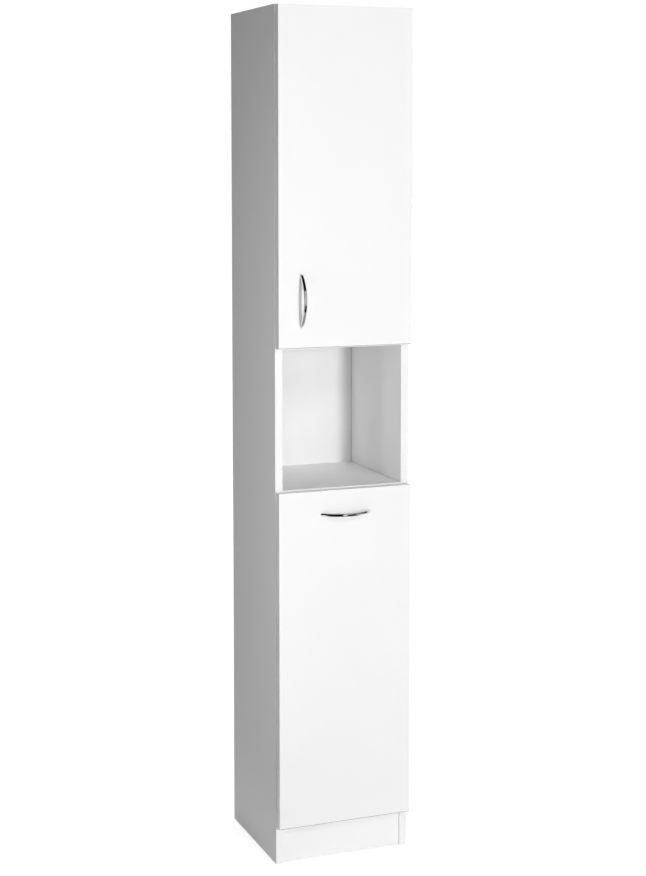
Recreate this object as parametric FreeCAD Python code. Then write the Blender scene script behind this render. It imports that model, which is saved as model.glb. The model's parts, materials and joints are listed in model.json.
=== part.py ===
"""Tall bathroom cabinet: upper door, open niche and a tilt-out laundry flap with a wire basket.

Millimetres. +X is the cabinet's right, +Y its back, +Z up, and the fronts face -Y. The origin is
on the floor, in the middle of the whole cabinet's width and depth, handles included.
"""
import FreeCAD, Part
import math
import os

os.makedirs("parts", exist_ok=True)

Vector = FreeCAD.Vector
X, Y, Z = Vector(1, 0, 0), Vector(0, 1, 0), Vector(0, 0, 1)

# ---------------------------------------------------------------- driving sizes: carcass
width = 300.0                 # over the side panels
height = 1800.0               # floor to top face
side_depth = 278.0            # side panel, front edge to back panel
board = 16.0                  # faced chipboard of the carcass
front_board = 16.0            # faced chipboard of the door and the flap
back_thickness = 3.0
back_inset = 1.0              # back panel's edge, in from the cabinet's outline
band = 0.8                    # edge band
band_round = 0.5              # rounding of a band's outer edges
glide_height = 3.0
glide_radius = 7.0
glide_rounding = 0.75
plinth_height = 78.0
plinth_recess = 6.0
lower_clear = 687.0           # bottom panel to niche floor
niche_clear = 294.0
shelf_count = 2
shelf_side_gap = 1.0          # shelf to side panel and to back panel
shelf_setback = 14.0          # shelf's front edge, behind the carcass front

# ---------------------------------------------------------------- driving sizes: fronts
front_gap = 3.0               # carcass front to a closed front's rear face
reveal = 1.5                  # front's edge, in from the cabinet's outline
niche_reveal = 3.0            # carcass edge that shows between a front and the niche
flap_angle = 38.0             # how far the flap tilts out

# ---------------------------------------------------------------- driving sizes: bow handles
handle_projection = 26.0
handle_length = 112.0
handle_screw_spacing = 96.0
handle_bar = 5.5              # thickness of the bow at its middle
handle_width = 6.0
handle_foot = 14.0            # length of a foot along the front
handle_rounding = 2.0
handle_thread_depth = 4.5
handle_screw_radius = 2.0
handle_screw_head_radius = 4.0
handle_screw_head_height = 1.8
door_handle_inset = 50.0      # from the door's free edge
door_handle_height = 50.0     # lower screw above the door's lower edge
flap_handle_drop = 50.0       # screws below the flap's upper edge

# ---------------------------------------------------------------- driving sizes: joinery
fit = 0.05                    # radial play of a peg, screw or pin in its hole
end_play = 0.5                # free depth past the end of a peg or screw
cam_radius = 7.5
cam_height = 12.5
cam_slot_reach = 4.0          # half the length of a cam's cross slots
cam_slot_width = 1.8
cam_slot_depth = 1.4
cam_from_end = 34.0           # cam centre from the panel's end
cam_from_edge = 50.0          # cam line from the front edge and from the back panel
bolt_thread_radius = 2.5
bolt_thread_length = 11.0
bolt_shank_radius = 3.0
bolt_shank_length = 24.0
bolt_neck_radius = 2.0
bolt_head_radius = 3.2
bolt_head_length = 3.0
bolt_bore_play = 0.4
dowel_radius = 4.0
dowel_length = 30.0
dowel_in_side = 11.0
dowel_from_cam = 32.0
plinth_dowel_from_edge = 20.0
nail_radius = 0.7
nail_length = 18.0
nail_head_radius = 1.8
nail_head_height = 0.8
nail_rows = 12                # nails up each side panel
nail_columns = 3              # nails across each fixed panel
nail_end_distance = 30.0

# ---------------------------------------------------------------- driving sizes: shelf supports
shelf_peg_radius = 2.5
shelf_peg_depth = 9.0
shelf_tongue_length = 8.0
shelf_tongue_width = 7.0
shelf_tongue_height = 5.0
shelf_hole_pitch = 32.0
shelf_holes = 5               # holes in each group, the shelf's own in the middle
shelf_peg_from_edge = 37.0

# ---------------------------------------------------------------- driving sizes: chipboard screws
screw_radius = 1.7
screw_length = 13.0
screw_head_radius = 3.3
screw_head_height = 1.4
screw_drive_depth = 0.7
screw_drive_radius = 1.2

# ---------------------------------------------------------------- driving sizes: wall brackets
bracket_spacing = 200.0
bracket_width = 20.0
bracket_thickness = 2.0
bracket_foot = 28.0           # leg under the top panel
bracket_leg = 40.0            # leg down the back panel
bracket_hole_radius = 2.75
bracket_hole_drop = 26.0      # wall hole below the top panel
back_hole_radius = 4.0

# ---------------------------------------------------------------- driving sizes: cup hinges
cup_radius = 17.5
cup_depth = 11.8
cup_wall = 0.8
cup_edge = 3.0                # cup's rim from the front panel's edge
cup_play = 0.1
cup_flange_start = 14.0       # flange from the front panel's edge
cup_flange_thickness = 1.0
cup_flange_length = 62.0
cup_flange_margin = 5.5       # flange past its screws
cup_screw_spacing = 48.0
cup_screw_offset = 6.0        # screws past the cup's centre line
pivot_inset = 7.2             # pivot from the front panel's edge
pivot_depth = 8.4             # pivot below the front panel's rear face
hinge_pin_radius = 1.25
hinge_eye_radius = 2.2
hinge_neck_width = 10.0
hinge_ear_gap = 0.4
hinge_ear_thickness = 2.2
hinge_ear_reach = 2.6         # ear's metal past the pivot's centre
hinge_metal = 2.2             # thickness of the arm
hinge_leg_height = 3.8        # neck's upright leg above the mounting face
hinge_arm_height = 10.5       # arm's web above the mounting face
hinge_arm_start = 8.0         # arm's web behind the carcass front
hinge_arm_end = 60.0
hinge_arm_width = 16.0
hinge_bend = 2.6
plate_base = 2.0
plate_width = 18.0
plate_length = 46.0
plate_corner = 4.0
plate_line = 37.0             # plate's screws behind the carcass front
plate_screw_spacing = 32.0
rail_start = 18.0
rail_end = 58.0
rail_width = 12.0
arm_screw_radius = 2.0
arm_screw_length = 7.0
arm_screw_head_radius = 3.1
arm_screw_head_height = 1.5
arm_screw_lines = (25.0, 49.0)    # overlay screw and clamping screw, behind the carcass front
door_hinge_from_end = 100.0   # hinge centre from the door's upper and lower edges
flap_hinge_from_edge = 68.5   # hinge centre from the flap's side edges

# ---------------------------------------------------------------- driving sizes: tilt stays
stay_radius = 200.0           # slot's centre line about the flap's pivot
stay_band = 24.0              # width of the slotted arc
stay_thickness = 2.0
stay_side_gap = 8.0           # stay to side panel
stay_play = 0.3               # stud to slot
stay_polar = 75.0             # stud's angle above the level line through the pivot
stay_flange_width = 18.0
stay_flange_margin = 8.0
stay_screw_spacing = 24.0
stud_radius = 4.0
stud_head_radius = 7.0
stud_head_thickness = 2.5
stud_collar_radius = 6.5
stud_gap = 1.0                # stud's collar and head to the stay
stud_thread_radius = 2.5
stud_thread_length = 12.0

# ---------------------------------------------------------------- driving sizes: laundry basket
basket_side_gap = 5.5         # stud's head to the basket
basket_depth = 200.0
basket_height = 520.0
basket_floor_height = 43.0    # above the bottom panel
basket_front_gap = 5.5        # flap's rear face to the front frame
rim_wire = 2.5                # radius of the frame wires
mesh_wire = 1.25              # radius of the mesh wires
frame_corner = 12.0
mesh_pitch = 33.0
clip_width = 14.0
clip_wall = 2.0
clip_base = 4.0
clip_length = 26.0
clip_round = 1.0
clip_screw_distance = 12.0    # clip's screw from its wire
clip_bay = 2                  # clips sit in this bay between mesh wires, counted from each side

# ---------------------------------------------------------------- driving sizes: door bumpers
bumper_radius = 4.0
bumper_play = 0.3
bumper_from_end = 40.0

# ---------------------------------------------------------------- planes and levels
side_x = width / 2
inner_x = side_x - board
rear_y = (handle_projection + front_board + front_gap + side_depth + back_thickness) / 2
back_y = rear_y - back_thickness          # back panel's front face
front_y = back_y - side_depth             # carcass front
closed_y = front_y - front_gap            # rear face of a closed front
face_y = closed_y - front_board           # outer face of a closed front
bottom_z = glide_height + plinth_height
bottom_top_z = bottom_z + board
niche_floor_z = bottom_top_z + lower_clear
niche_z = niche_floor_z + board
niche_ceiling_z = niche_z + niche_clear
upper_z = niche_ceiling_z + board
top_z = height - board
overlay = board - reveal
front_x = side_x - reveal
door_low, door_high = niche_ceiling_z + niche_reveal, height - reveal
flap_low, flap_high = bottom_z + reveal, niche_z - niche_reveal
cam_lines = (front_y + cam_from_edge, back_y - cam_from_edge)
dowel_lines = (cam_lines[0] + dowel_from_cam, cam_lines[1] - dowel_from_cam)
fixed_panels = {              # underside, and the face that holds the cams: 1 upper, -1 lower
    "top_panel": (top_z, -1),
    "niche_ceiling_panel": (niche_ceiling_z, 1),
    "niche_floor_panel": (niche_floor_z, -1),
    "bottom_panel": (bottom_z, -1),
}
flap_pivot = Vector(0, closed_y - pivot_depth, flap_low + pivot_inset)


# ---------------------------------------------------------------- shapes
def block(x, y, z):
    """Box between three pairs of limits, each pair in either order."""
    low = Vector(min(x), min(y), min(z))
    high = Vector(max(x), max(y), max(z))
    return Part.makeBox(high.x - low.x, high.y - low.y, high.z - low.z, low)


def rod(start, end, radius):
    """Round bar between two points."""
    return Part.makeCylinder(radius, (end - start).Length, start, end - start)


def turned(start, direction, steps):
    """Turned piece: rods of (length, radius), end to end along a direction."""
    rods, at = [], start
    for length, radius in steps:
        rods.append(rod(at, at + direction * length, radius))
        at = at + direction * length
    return rods[0].fuse(rods[1:]).removeSplitter()


def outline(corners, origin, u, v):
    """Closed wire through corners of (u, v, radius); a radius above zero rounds its corner."""
    points = [origin + u * corner[0] + v * corner[1] for corner in corners]
    bends = []
    for index, point in enumerate(points):
        before = (points[index - 1] - point).normalize()
        after = (points[(index + 1) % len(points)] - point).normalize()
        radius = corners[index][2]
        if radius > 0:
            half = before.getAngle(after) / 2
            bisector = (before + after).normalize()
            start = point + before * (radius / math.tan(half))
            end = point + after * (radius / math.tan(half))
            middle = point + bisector * (radius / math.sin(half) - radius)
            bends.append((start, end, Part.Arc(start, middle, end).toShape()))
        else:
            bends.append((point, point, None))
    edges = []
    for index, (start, end, arc) in enumerate(bends):
        if arc:
            edges.append(arc)
        following = bends[(index + 1) % len(bends)][0]
        if (following - end).Length > 1e-6:
            edges.append(Part.makeLine(end, following))
    return Part.Wire(edges)


def prism(corners, origin, u, v, depth):
    """Solid of an outline drawn on the axes u and v, pulled along u x v."""
    return Part.Face(outline(corners, origin, u, v)).extrude(u.cross(v) * depth)


def ribbon(line, thickness, bend):
    """Corners of a strip of even thickness along a centre line that bends with one radius."""
    points = [Vector(u, v, 0) for u, v in line]
    runs = [(b - a).normalize() for a, b in zip(points, points[1:])]
    left, right = [], []
    for index, point in enumerate(points):
        before = runs[max(index - 1, 0)]
        after = runs[min(index, len(runs) - 1)]
        normal = Z.cross(before) + Z.cross(after)
        offset = normal * (thickness / (2 + 2 * before.dot(after)))
        turn = before.cross(after).z
        inner, outer = bend - thickness / 2, bend + thickness / 2
        radii = (0, 0) if abs(turn) < 1e-6 else (inner, outer) if turn > 0 else (outer, inner)
        left.append((point.x + offset.x, point.y + offset.y, radii[0]))
        right.append((point.x - offset.x, point.y - offset.y, radii[1]))
    return right + left[::-1]


def mirrored(shape):
    """The same piece on the cabinet's other side."""
    return shape.mirror(Vector(0, 0, 0), X)


def both_sides(shapes):
    return shapes + [mirrored(shape) for shape in shapes]


def save(name, *solids):
    shape = solids[0] if len(solids) == 1 else Part.makeCompound(solids)
    shape.exportStep(f"parts/{name}.step")


# ---------------------------------------------------------------- screws
def screw(seat, direction):
    """Chipboard screw with a raised head on a seat, driven along a direction."""
    top = seat - direction * screw_head_height
    body = turned(top, direction, [(screw_head_height, screw_head_radius), (screw_length, screw_radius)])
    return body.cut(rod(top, top + direction * screw_drive_depth, screw_drive_radius))


def screw_hole(seat, direction):
    return rod(seat, seat + direction * (screw_length + end_play), screw_radius + fit)


# ---------------------------------------------------------------- edge bands
def front_band(x, z, y=front_y):
    """Band on an edge that faces the front, its two long outer edges rounded."""
    tall = z[1] - z[0] > x[1] - x[0]
    if tall:
        corners = [(x[0], y, band_round), (x[1], y, band_round),
                   (x[1], y + band, 0), (x[0], y + band, 0)]
        return prism(corners, Z * z[0], X, Y, z[1] - z[0])
    corners = [(y, z[0], band_round), (y + band, z[0], 0), (y + band, z[1], 0), (y, z[1], band_round)]
    return prism(corners, X * x[0], Y, Z, x[1] - x[0])


def front_bands(low, high):
    """Four bands round a door or flap: full-height uprights, with the others between them."""
    upright = [(front_x - band, face_y, 0), (front_x, face_y, band_round),
               (front_x, closed_y, band_round), (front_x - band, closed_y, 0)]
    right = prism(upright, Z * low, X, Y, high - low)
    level = [(face_y, high - band, 0), (closed_y, high - band, 0),
             (closed_y, high, band_round), (face_y, high, band_round)]
    length = 2 * (front_x - band)
    top = prism(level, X * (band - front_x), Y, Z, length)
    middle = Vector(0, 0, (low + high) / 2)
    return [mirrored(right), right, top, top.mirror(middle, Z)]


def front_core(low, high):
    return block((band - front_x, front_x - band), (face_y, closed_y), (low + band, high - band))


# ---------------------------------------------------------------- bow handles
def handle(centre, along):
    """Crescent bow with flat feet and a threaded hole in each foot."""
    half, inside = handle_length / 2, handle_length / 2 - handle_foot
    outer_rise, inner_rise = handle_projection, handle_projection - handle_bar
    outward = Y * -1

    def at(distance, rise):
        return centre + along * distance + outward * rise

    edges = [
        Part.Arc(at(-half, 0), at(0, outer_rise), at(half, 0)).toShape(),
        Part.makeLine(at(half, 0), at(inside, 0)),
        Part.Arc(at(inside, 0), at(0, inner_rise), at(-inside, 0)).toShape(),
        Part.makeLine(at(-inside, 0), at(-half, 0)),
    ]
    across = along.cross(outward)
    bow = Part.Face(Part.Wire(edges)).extrude(across * handle_width)
    bow.translate(across * (-handle_width / 2))
    arcs = [edge for edge in bow.Edges if isinstance(edge.Curve, Part.Circle)]
    bow = bow.makeFillet(handle_rounding, arcs)
    holes = [rod(at(side * handle_screw_spacing / 2, 0),
                 at(side * handle_screw_spacing / 2, handle_thread_depth + end_play),
                 handle_screw_radius + fit) for side in (-1, 1)]
    return bow.cut(holes)


def handle_screws(centre, along):
    """Machine screws from behind the front into the handle's feet, and their clearance holes."""
    screws, holes = [], []
    for side in (-1, 1):
        foot = centre + along * (side * handle_screw_spacing / 2)
        seat = Vector(foot.x, closed_y, foot.z)
        tip = foot - Y * handle_thread_depth
        body = rod(tip, seat, handle_screw_radius)
        head = rod(seat, seat + Y * handle_screw_head_height, handle_screw_head_radius)
        drive = rod(seat + Y * (handle_screw_head_height - screw_drive_depth),
                    seat + Y * handle_screw_head_height, screw_drive_radius)
        screws.append(body.fuse(head).removeSplitter().cut(drive))
        holes.append(rod(Vector(foot.x, face_y, foot.z), seat, handle_screw_radius + end_play))
    return screws, holes


# ---------------------------------------------------------------- cup hinges
# Drawn in the section across the pivot. "rise" is the distance from the mounting face into the
# cabinet, "run" the distance behind the carcass front, and the pin lies along rise x run.
cup_rise = cup_edge + cup_radius - overlay
cup_floor_run = -front_gap - cup_depth
pivot_rise = pivot_inset - overlay
pivot_run = -front_gap - pivot_depth
cup_screw_rise = cup_rise + cup_screw_offset
web_low, web_high = hinge_arm_height - hinge_metal / 2, hinge_arm_height + hinge_metal / 2
ear_start = hinge_neck_width / 2 + hinge_ear_gap
ear_end = ear_start + hinge_ear_thickness


def hinge_cup():
    """Pressed cup with its screw flange and the two ears that hold the pin."""
    mouth = Vector(cup_rise, -front_gap, 0)
    floor = Vector(cup_rise, cup_floor_run, 0)
    outer_radius = cup_radius - cup_play
    outer = rod(floor, mouth, outer_radius)
    inner = rod(floor + Y * cup_wall, mouth + Y * cup_flange_thickness, outer_radius - cup_wall)
    flange = block((cup_flange_start - overlay, cup_screw_rise + cup_flange_margin),
                   (-front_gap, -front_gap + cup_flange_thickness),
                   (-cup_flange_length / 2, cup_flange_length / 2))
    cup = outer.fuse(flange).cut(inner)
    ears = [block((cup_rise - cup_radius, pivot_rise + hinge_ear_reach),
                  (cup_floor_run, pivot_run + hinge_ear_reach),
                  (side * ear_start, side * ear_end)).common(outer) for side in (-1, 1)]
    cup = cup.fuse(ears).removeSplitter()
    pin_hole = rod(Vector(pivot_rise, pivot_run, -ear_end), Vector(pivot_rise, pivot_run, ear_end),
                   hinge_pin_radius + fit)
    screw_holes = [rod(Vector(cup_screw_rise, -front_gap, side * cup_screw_spacing / 2),
                       Vector(cup_screw_rise, 0, side * cup_screw_spacing / 2),
                       screw_radius + fit) for side in (-1, 1)]
    return cup.cut([pin_hole] + screw_holes)


def hinge_cup_bore():
    mouth = Vector(cup_rise, -front_gap, 0)
    return rod(Vector(cup_rise, cup_floor_run, 0), mouth, cup_radius)


def hinge_cup_seats():
    """Seats of the cup's two screws, on the flange."""
    run = -front_gap + cup_flange_thickness
    return [Vector(cup_screw_rise, run, side * cup_screw_spacing / 2) for side in (-1, 1)]


def hinge_pin():
    end = Vector(pivot_rise, pivot_run, ear_end)
    return rod(end - Z * (2 * ear_end), end, hinge_pin_radius)


def hinge_arm():
    """Arm with a bent neck that reaches into the cup and ends in an eye round the pin."""
    line = [(pivot_rise, pivot_run), (hinge_leg_height, pivot_run), (hinge_leg_height, -plate_base / 2),
            (hinge_arm_height, hinge_arm_start), (hinge_arm_height, hinge_arm_end)]
    neck = prism(ribbon(line, hinge_metal, hinge_bend), Z * (-hinge_neck_width / 2), X, Y, hinge_neck_width)
    half_neck = Z * (hinge_neck_width / 2)
    pivot = Vector(pivot_rise, pivot_run, 0)
    eye = rod(pivot - half_neck, pivot + half_neck, hinge_eye_radius)
    web_start = hinge_arm_start + hinge_bend
    half = hinge_arm_width / 2
    web = block((web_low, web_high), (web_start, hinge_arm_end), (-half, half))
    cheeks = [block((plate_base + end_play, web_high), (rail_start - plate_base, hinge_arm_end),
                    (side * (rail_width / 2 + end_play), side * half)) for side in (-1, 1)]
    arm = neck.fuse([eye, web] + cheeks).removeSplitter()
    cuts = [rod(pivot - half_neck, pivot + half_neck, hinge_pin_radius + fit)]
    cuts += [rod(Vector(web_low, run, 0), Vector(web_high, run, 0), arm_screw_radius + fit)
             for run in arm_screw_lines]
    return arm.cut(cuts)


def hinge_plate():
    """Mounting plate: two screwed wings and the rail that carries the arm."""
    half_width, half_length = plate_width / 2, plate_length / 2
    corners = [(plate_line + run * half_width, level * half_length, plate_corner)
               for run, level in ((-1, -1), (1, -1), (1, 1), (-1, 1))]
    base = prism(corners, Vector(0, 0, 0), Y, Z, plate_base)
    rail = block((0, web_low), (rail_start, rail_end), (-rail_width / 2, rail_width / 2))
    cuts = [rod(Vector(0, plate_line, side * plate_screw_spacing / 2),
                Vector(plate_base, plate_line, side * plate_screw_spacing / 2), screw_radius + fit)
            for side in (-1, 1)]
    cuts += [rod(Vector(web_low - arm_screw_length, run, 0), Vector(web_low, run, 0), arm_screw_radius + fit)
             for run in arm_screw_lines]
    return base.fuse(rail).removeSplitter().cut(cuts)


def hinge_plate_seats():
    return [Vector(plate_base, plate_line, side * plate_screw_spacing / 2) for side in (-1, 1)]


def hinge_arm_screws():
    """Overlay screw and clamping screw, through the arm's web into the rail."""
    screws = []
    for run in arm_screw_lines:
        seat = Vector(web_high, run, 0)
        body = turned(seat + X * arm_screw_head_height, X * -1,
                      [(arm_screw_head_height, arm_screw_head_radius),
                       (hinge_metal + arm_screw_length - end_play, arm_screw_radius)])
        drive = rod(seat + X * (arm_screw_head_height - screw_drive_depth),
                    seat + X * arm_screw_head_height, screw_drive_radius)
        screws.append(body.cut(drive))
    return screws


def section(origin, rise, run):
    """Placement of the hinge's section: a point on the mounting face and the two directions."""
    along = rise.cross(run)
    matrix = FreeCAD.Matrix(rise.x, run.x, along.x, origin.x,
                            rise.y, run.y, along.y, origin.y,
                            rise.z, run.z, along.z, origin.z, 0, 0, 0, 1)
    return FreeCAD.Placement(matrix)


def placed(shape, placement):
    copy = shape.copy()
    copy.Placement = placement.multiply(copy.Placement)
    return copy


def hinge_set(places):
    """Pieces of a pair of hinges, and what they need cut from the front and the mounting panel."""
    pieces = {"cups": [], "cup_screws": [], "pins": [], "arms": [], "plates": [], "plate_screws": [],
              "arm_screws": [], "front_cuts": [], "panel_cuts": []}
    toward_front, toward_panel = Y * -1, X * -1
    for place in places:
        pieces["cups"].append(placed(hinge_cup(), place))
        pieces["pins"].append(placed(hinge_pin(), place))
        pieces["arms"].append(placed(hinge_arm(), place))
        pieces["plates"].append(placed(hinge_plate(), place))
        pieces["arm_screws"] += [placed(item, place) for item in hinge_arm_screws()]
        pieces["front_cuts"].append(placed(hinge_cup_bore(), place))
        for seat in hinge_cup_seats():
            pieces["cup_screws"].append(placed(screw(seat, toward_front), place))
            pieces["front_cuts"].append(placed(screw_hole(seat, toward_front), place))
        for seat in hinge_plate_seats():
            pieces["plate_screws"].append(placed(screw(seat, toward_panel), place))
            pieces["panel_cuts"].append(placed(screw_hole(seat, toward_panel), place))
    return pieces


# ---------------------------------------------------------------- tilt stays
stay_x = (inner_x - stay_side_gap - stay_thickness, inner_x - stay_side_gap)


def stay_point(radius, angle, x=0.0):
    """Point at a radius and an angle about the flap's pivot, the angle from level and upwards."""
    turn = math.radians(angle)
    return Vector(x, flap_pivot.y + radius * math.cos(turn), flap_pivot.z + radius * math.sin(turn))


def arc_band(x, half_width, start, end, start_cap=True, end_cap=True):
    """Wire round a band about the pivot; a capped end is round, an open one stops on the flap."""
    outer, inner = stay_radius + half_width, stay_radius - half_width
    cap_angle = math.degrees(half_width / stay_radius)
    reach = closed_y - flap_pivot.y
    outer_end = end if end_cap else math.degrees(math.acos(reach / outer))
    inner_end = end if end_cap else math.degrees(math.acos(reach / inner))
    edges = [
        Part.Arc(stay_point(outer, start, x), stay_point(outer, (start + outer_end) / 2, x),
                 stay_point(outer, outer_end, x)).toShape(),
        Part.Arc(stay_point(inner, inner_end, x), stay_point(inner, (start + inner_end) / 2, x),
                 stay_point(inner, start, x)).toShape(),
        Part.Arc(stay_point(inner, start, x), stay_point(stay_radius, start - cap_angle, x),
                 stay_point(outer, start, x)).toShape(),
    ]
    if end_cap:
        edges.append(Part.Arc(stay_point(outer, end, x), stay_point(stay_radius, end + cap_angle, x),
                              stay_point(inner, end, x)).toShape())
    else:
        edges.append(Part.makeLine(stay_point(outer, outer_end, x), stay_point(inner, inner_end, x)))
    return Part.Wire(Part.__sortEdges__(edges))


stay_flange_z = (flap_pivot.z + stay_radius - stay_band / 2 - stay_flange_margin,
                 flap_pivot.z + stay_radius + stay_band / 2 + stay_flange_margin)
stay_flange_x = (stay_x[1] - stay_flange_width, stay_x[1])


def stay_seats():
    """Seats of the right stay's two screws, on its flange."""
    middle_z = sum(stay_flange_z) / 2
    x = (stay_flange_x[0] + stay_x[0]) / 2
    return [Vector(x, closed_y + stay_thickness, middle_z + side * stay_screw_spacing / 2)
            for side in (-1, 1)]


def tilt_stay():
    """Right stay: a slotted arc about the pivot, with a flange on the flap's rear face."""
    slot_half = stud_radius + stay_play
    slack = math.degrees(stay_play / stay_radius)
    slot_start = stay_polar - flap_angle
    plate = Part.Face(arc_band(stay_x[0], stay_band / 2, slot_start, 0, end_cap=False))
    plate = plate.extrude(X * stay_thickness)
    slot = Part.Face(arc_band(stay_x[0], slot_half, slot_start - slack, stay_polar + slack))
    slot = slot.extrude(X * stay_thickness)
    flange = block(stay_flange_x, (closed_y, closed_y + stay_thickness), stay_flange_z)
    holes = [rod(seat - Y * stay_thickness, seat, screw_radius + fit) for seat in stay_seats()]
    return plate.fuse(flange).removeSplitter().cut([slot] + holes)


def stay_stud():
    """Right stud: threaded into the side panel, with a collar, a shank in the slot and a head."""
    start = stay_point(stay_radius, stay_polar, inner_x + stud_thread_length)
    collar = stay_side_gap - stud_gap
    shank = stay_thickness + 2 * stud_gap
    return turned(start, X * -1, [(stud_thread_length, stud_thread_radius), (collar, stud_collar_radius),
                                  (shank, stud_radius), (stud_head_thickness, stud_head_radius)])


def stud_hole():
    start = stay_point(stay_radius, stay_polar, inner_x)
    return rod(start, start + X * (stud_thread_length + end_play), stud_thread_radius + fit)


# ---------------------------------------------------------------- laundry basket
basket_x = stay_x[0] - stud_gap - stud_head_thickness - basket_side_gap
basket_width = 2 * basket_x
basket_front_y = closed_y + basket_front_gap
basket_y = (basket_front_y, basket_front_y + basket_depth)
basket_z = (bottom_top_z + basket_floor_height, bottom_top_z + basket_floor_height + basket_height)


def frame_wire(corner, u, v, length_u, length_v):
    """Closed frame of bent wire with rounded corners, its outside at the corner given."""
    low, high_u, high_v = rim_wire, length_u - rim_wire, length_v - rim_wire
    path = outline([(low, low, frame_corner), (high_u, low, frame_corner),
                    (high_u, high_v, frame_corner), (low, high_v, frame_corner)], corner, u, v)
    start = path.Edges[0].Vertexes[0].Point
    section_wire = Part.Wire(Part.makeCircle(rim_wire, start, path.Edges[0].tangentAt(0)))
    return path.makePipeShell([section_wire], True, False)


def wire_mat(corner, u, v, inward, length_u, length_v, margin):
    """Basket wall: a bent frame, wires along v laid on its inside, and wires along u on those."""
    solids = [frame_wire(corner + inward * rim_wire, u, v, length_u, length_v)]
    first = corner + inward * (2 * rim_wire + mesh_wire)
    second = first + inward * (2 * mesh_wire)
    count_u = max(1, round(length_u / mesh_pitch) - 1)
    count_v = max(1, round(length_v / mesh_pitch) - 1)
    for index in range(1, count_u + 1):
        at = first + u * (index * length_u / (count_u + 1))
        solids.append(rod(at + v * rim_wire, at + v * (length_v - rim_wire), mesh_wire))
    for index in range(1, count_v + 1):
        at = second + v * (index * length_v / (count_v + 1))
        solids.append(rod(at + u * margin, at + u * (length_u - margin), mesh_wire))
    return solids


def basket_mats():
    """Five mats: front and back at full width, the sides between them, the floor inside."""
    left = Vector(-basket_x, basket_y[0], basket_z[0])
    back = Vector(-basket_x, basket_y[1], basket_z[0])
    between = Y * (2 * rim_wire)
    side_length = basket_depth - 4 * rim_wire
    margin = 2 * rim_wire + 5 * mesh_wire      # mesh wires stop short of the next wall's mesh
    floor_inset = 2 * rim_wire + 2 * mesh_wire    # the floor's frame meets the walls' upright wires
    return {
        "basket_front_mat": wire_mat(left, X, Z, Y, basket_width, basket_height, margin),
        "basket_back_mat": wire_mat(back, X, Z, Y * -1, basket_width, basket_height, margin),
        "basket_left_mat": wire_mat(left + between, Y, Z, X, side_length, basket_height, margin),
        "basket_right_mat": wire_mat(left + between + X * basket_width, Y, Z, X * -1,
                                     side_length, basket_height, margin),
        "basket_floor_mat": wire_mat(left + (X + Y) * floor_inset, X, Y, Z, basket_width - 2 * floor_inset,
                                     basket_depth - 2 * floor_inset, rim_wire),
    }


def basket_clips():
    """Clips that hold the front mat's upper and lower frame wires to the flap, and their screws."""
    bay = basket_width / round(basket_width / mesh_pitch)
    wire_y = basket_front_y + rim_wire
    clips, screws, holes = [], [], []
    for side in (-1, 1):
        for level, inward in ((basket_z[1] - rim_wire, -1), (basket_z[0] + rim_wire, 1)):
            x = side * (basket_x - (clip_bay - 0.5) * bay)
            reach = rim_wire + clip_wall
            far = clip_length - reach
            corners = [(closed_y, -reach, 0), (wire_y + reach, -reach, clip_round),
                       (wire_y + reach, reach, clip_round), (closed_y + clip_base, reach, clip_round),
                       (closed_y + clip_base, far, clip_round), (closed_y, far, 0)]
            clip = prism(corners, Vector(x - clip_width / 2, 0, level), Y, Z, clip_width)
            if inward < 0:
                clip = clip.mirror(Vector(0, 0, level), Z)
            wire = rod(Vector(x - clip_width / 2, wire_y, level), Vector(x + clip_width / 2, wire_y, level),
                       rim_wire + fit)
            seat = Vector(x, closed_y + clip_base, level + inward * clip_screw_distance)
            hole = rod(seat - Y * clip_base, seat, screw_radius + fit)
            clips.append(clip.cut([wire, hole]))
            screws.append(screw(seat, Y * -1))
            holes.append(screw_hole(seat, Y * -1))
    return clips, screws, holes


# ---------------------------------------------------------------- carcass joinery
def cam_joint(y, under, face):
    """Cam housing, bolt and holes of one joint at the right end of a fixed panel."""
    middle = under + board / 2
    mouth = under + board if face > 0 else under
    cam_x = inner_x - cam_from_end
    housing = rod(Vector(cam_x, y, mouth - face * cam_height), Vector(cam_x, y, mouth), cam_radius - fit)
    bore_radius = bolt_head_radius + bolt_bore_play
    bore = rod(Vector(cam_x - bolt_head_radius, y, middle), Vector(inner_x, y, middle), bore_radius)
    slot_half = cam_slot_width / 2
    slots = [block((cam_x - length, cam_x + length), (y - breadth, y + breadth),
                   (mouth - face * cam_slot_depth, mouth))
             for length, breadth in ((cam_slot_reach, slot_half), (slot_half, cam_slot_reach))]
    neck = cam_from_end - bolt_shank_length - bolt_head_length / 2
    bolt = turned(Vector(inner_x + bolt_thread_length, y, middle), X * -1,
                  [(bolt_thread_length, bolt_thread_radius), (bolt_shank_length, bolt_shank_radius),
                   (neck, bolt_neck_radius), (bolt_head_length, bolt_head_radius)])
    panel_cuts = [rod(Vector(cam_x, y, mouth - face * cam_height), Vector(cam_x, y, mouth), cam_radius), bore]
    side_cut = rod(Vector(inner_x, y, middle), Vector(inner_x + bolt_thread_length + end_play, y, middle),
                   bolt_thread_radius + fit)
    return housing.cut([bore] + slots), bolt, panel_cuts, side_cut


def dowel_joint(y, z):
    """Dowel across the right side panel's inner face, its hole in the panel and in the side."""
    start = Vector(inner_x + dowel_in_side, y, z)
    face = Vector(inner_x, y, z)
    end = start - X * dowel_length
    peg = rod(end, start, dowel_radius)
    panel_hole = rod(end - X * end_play, face, dowel_radius + fit)
    side_hole = rod(face, start + X * end_play, dowel_radius + fit)
    return peg, panel_hole, side_hole


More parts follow.
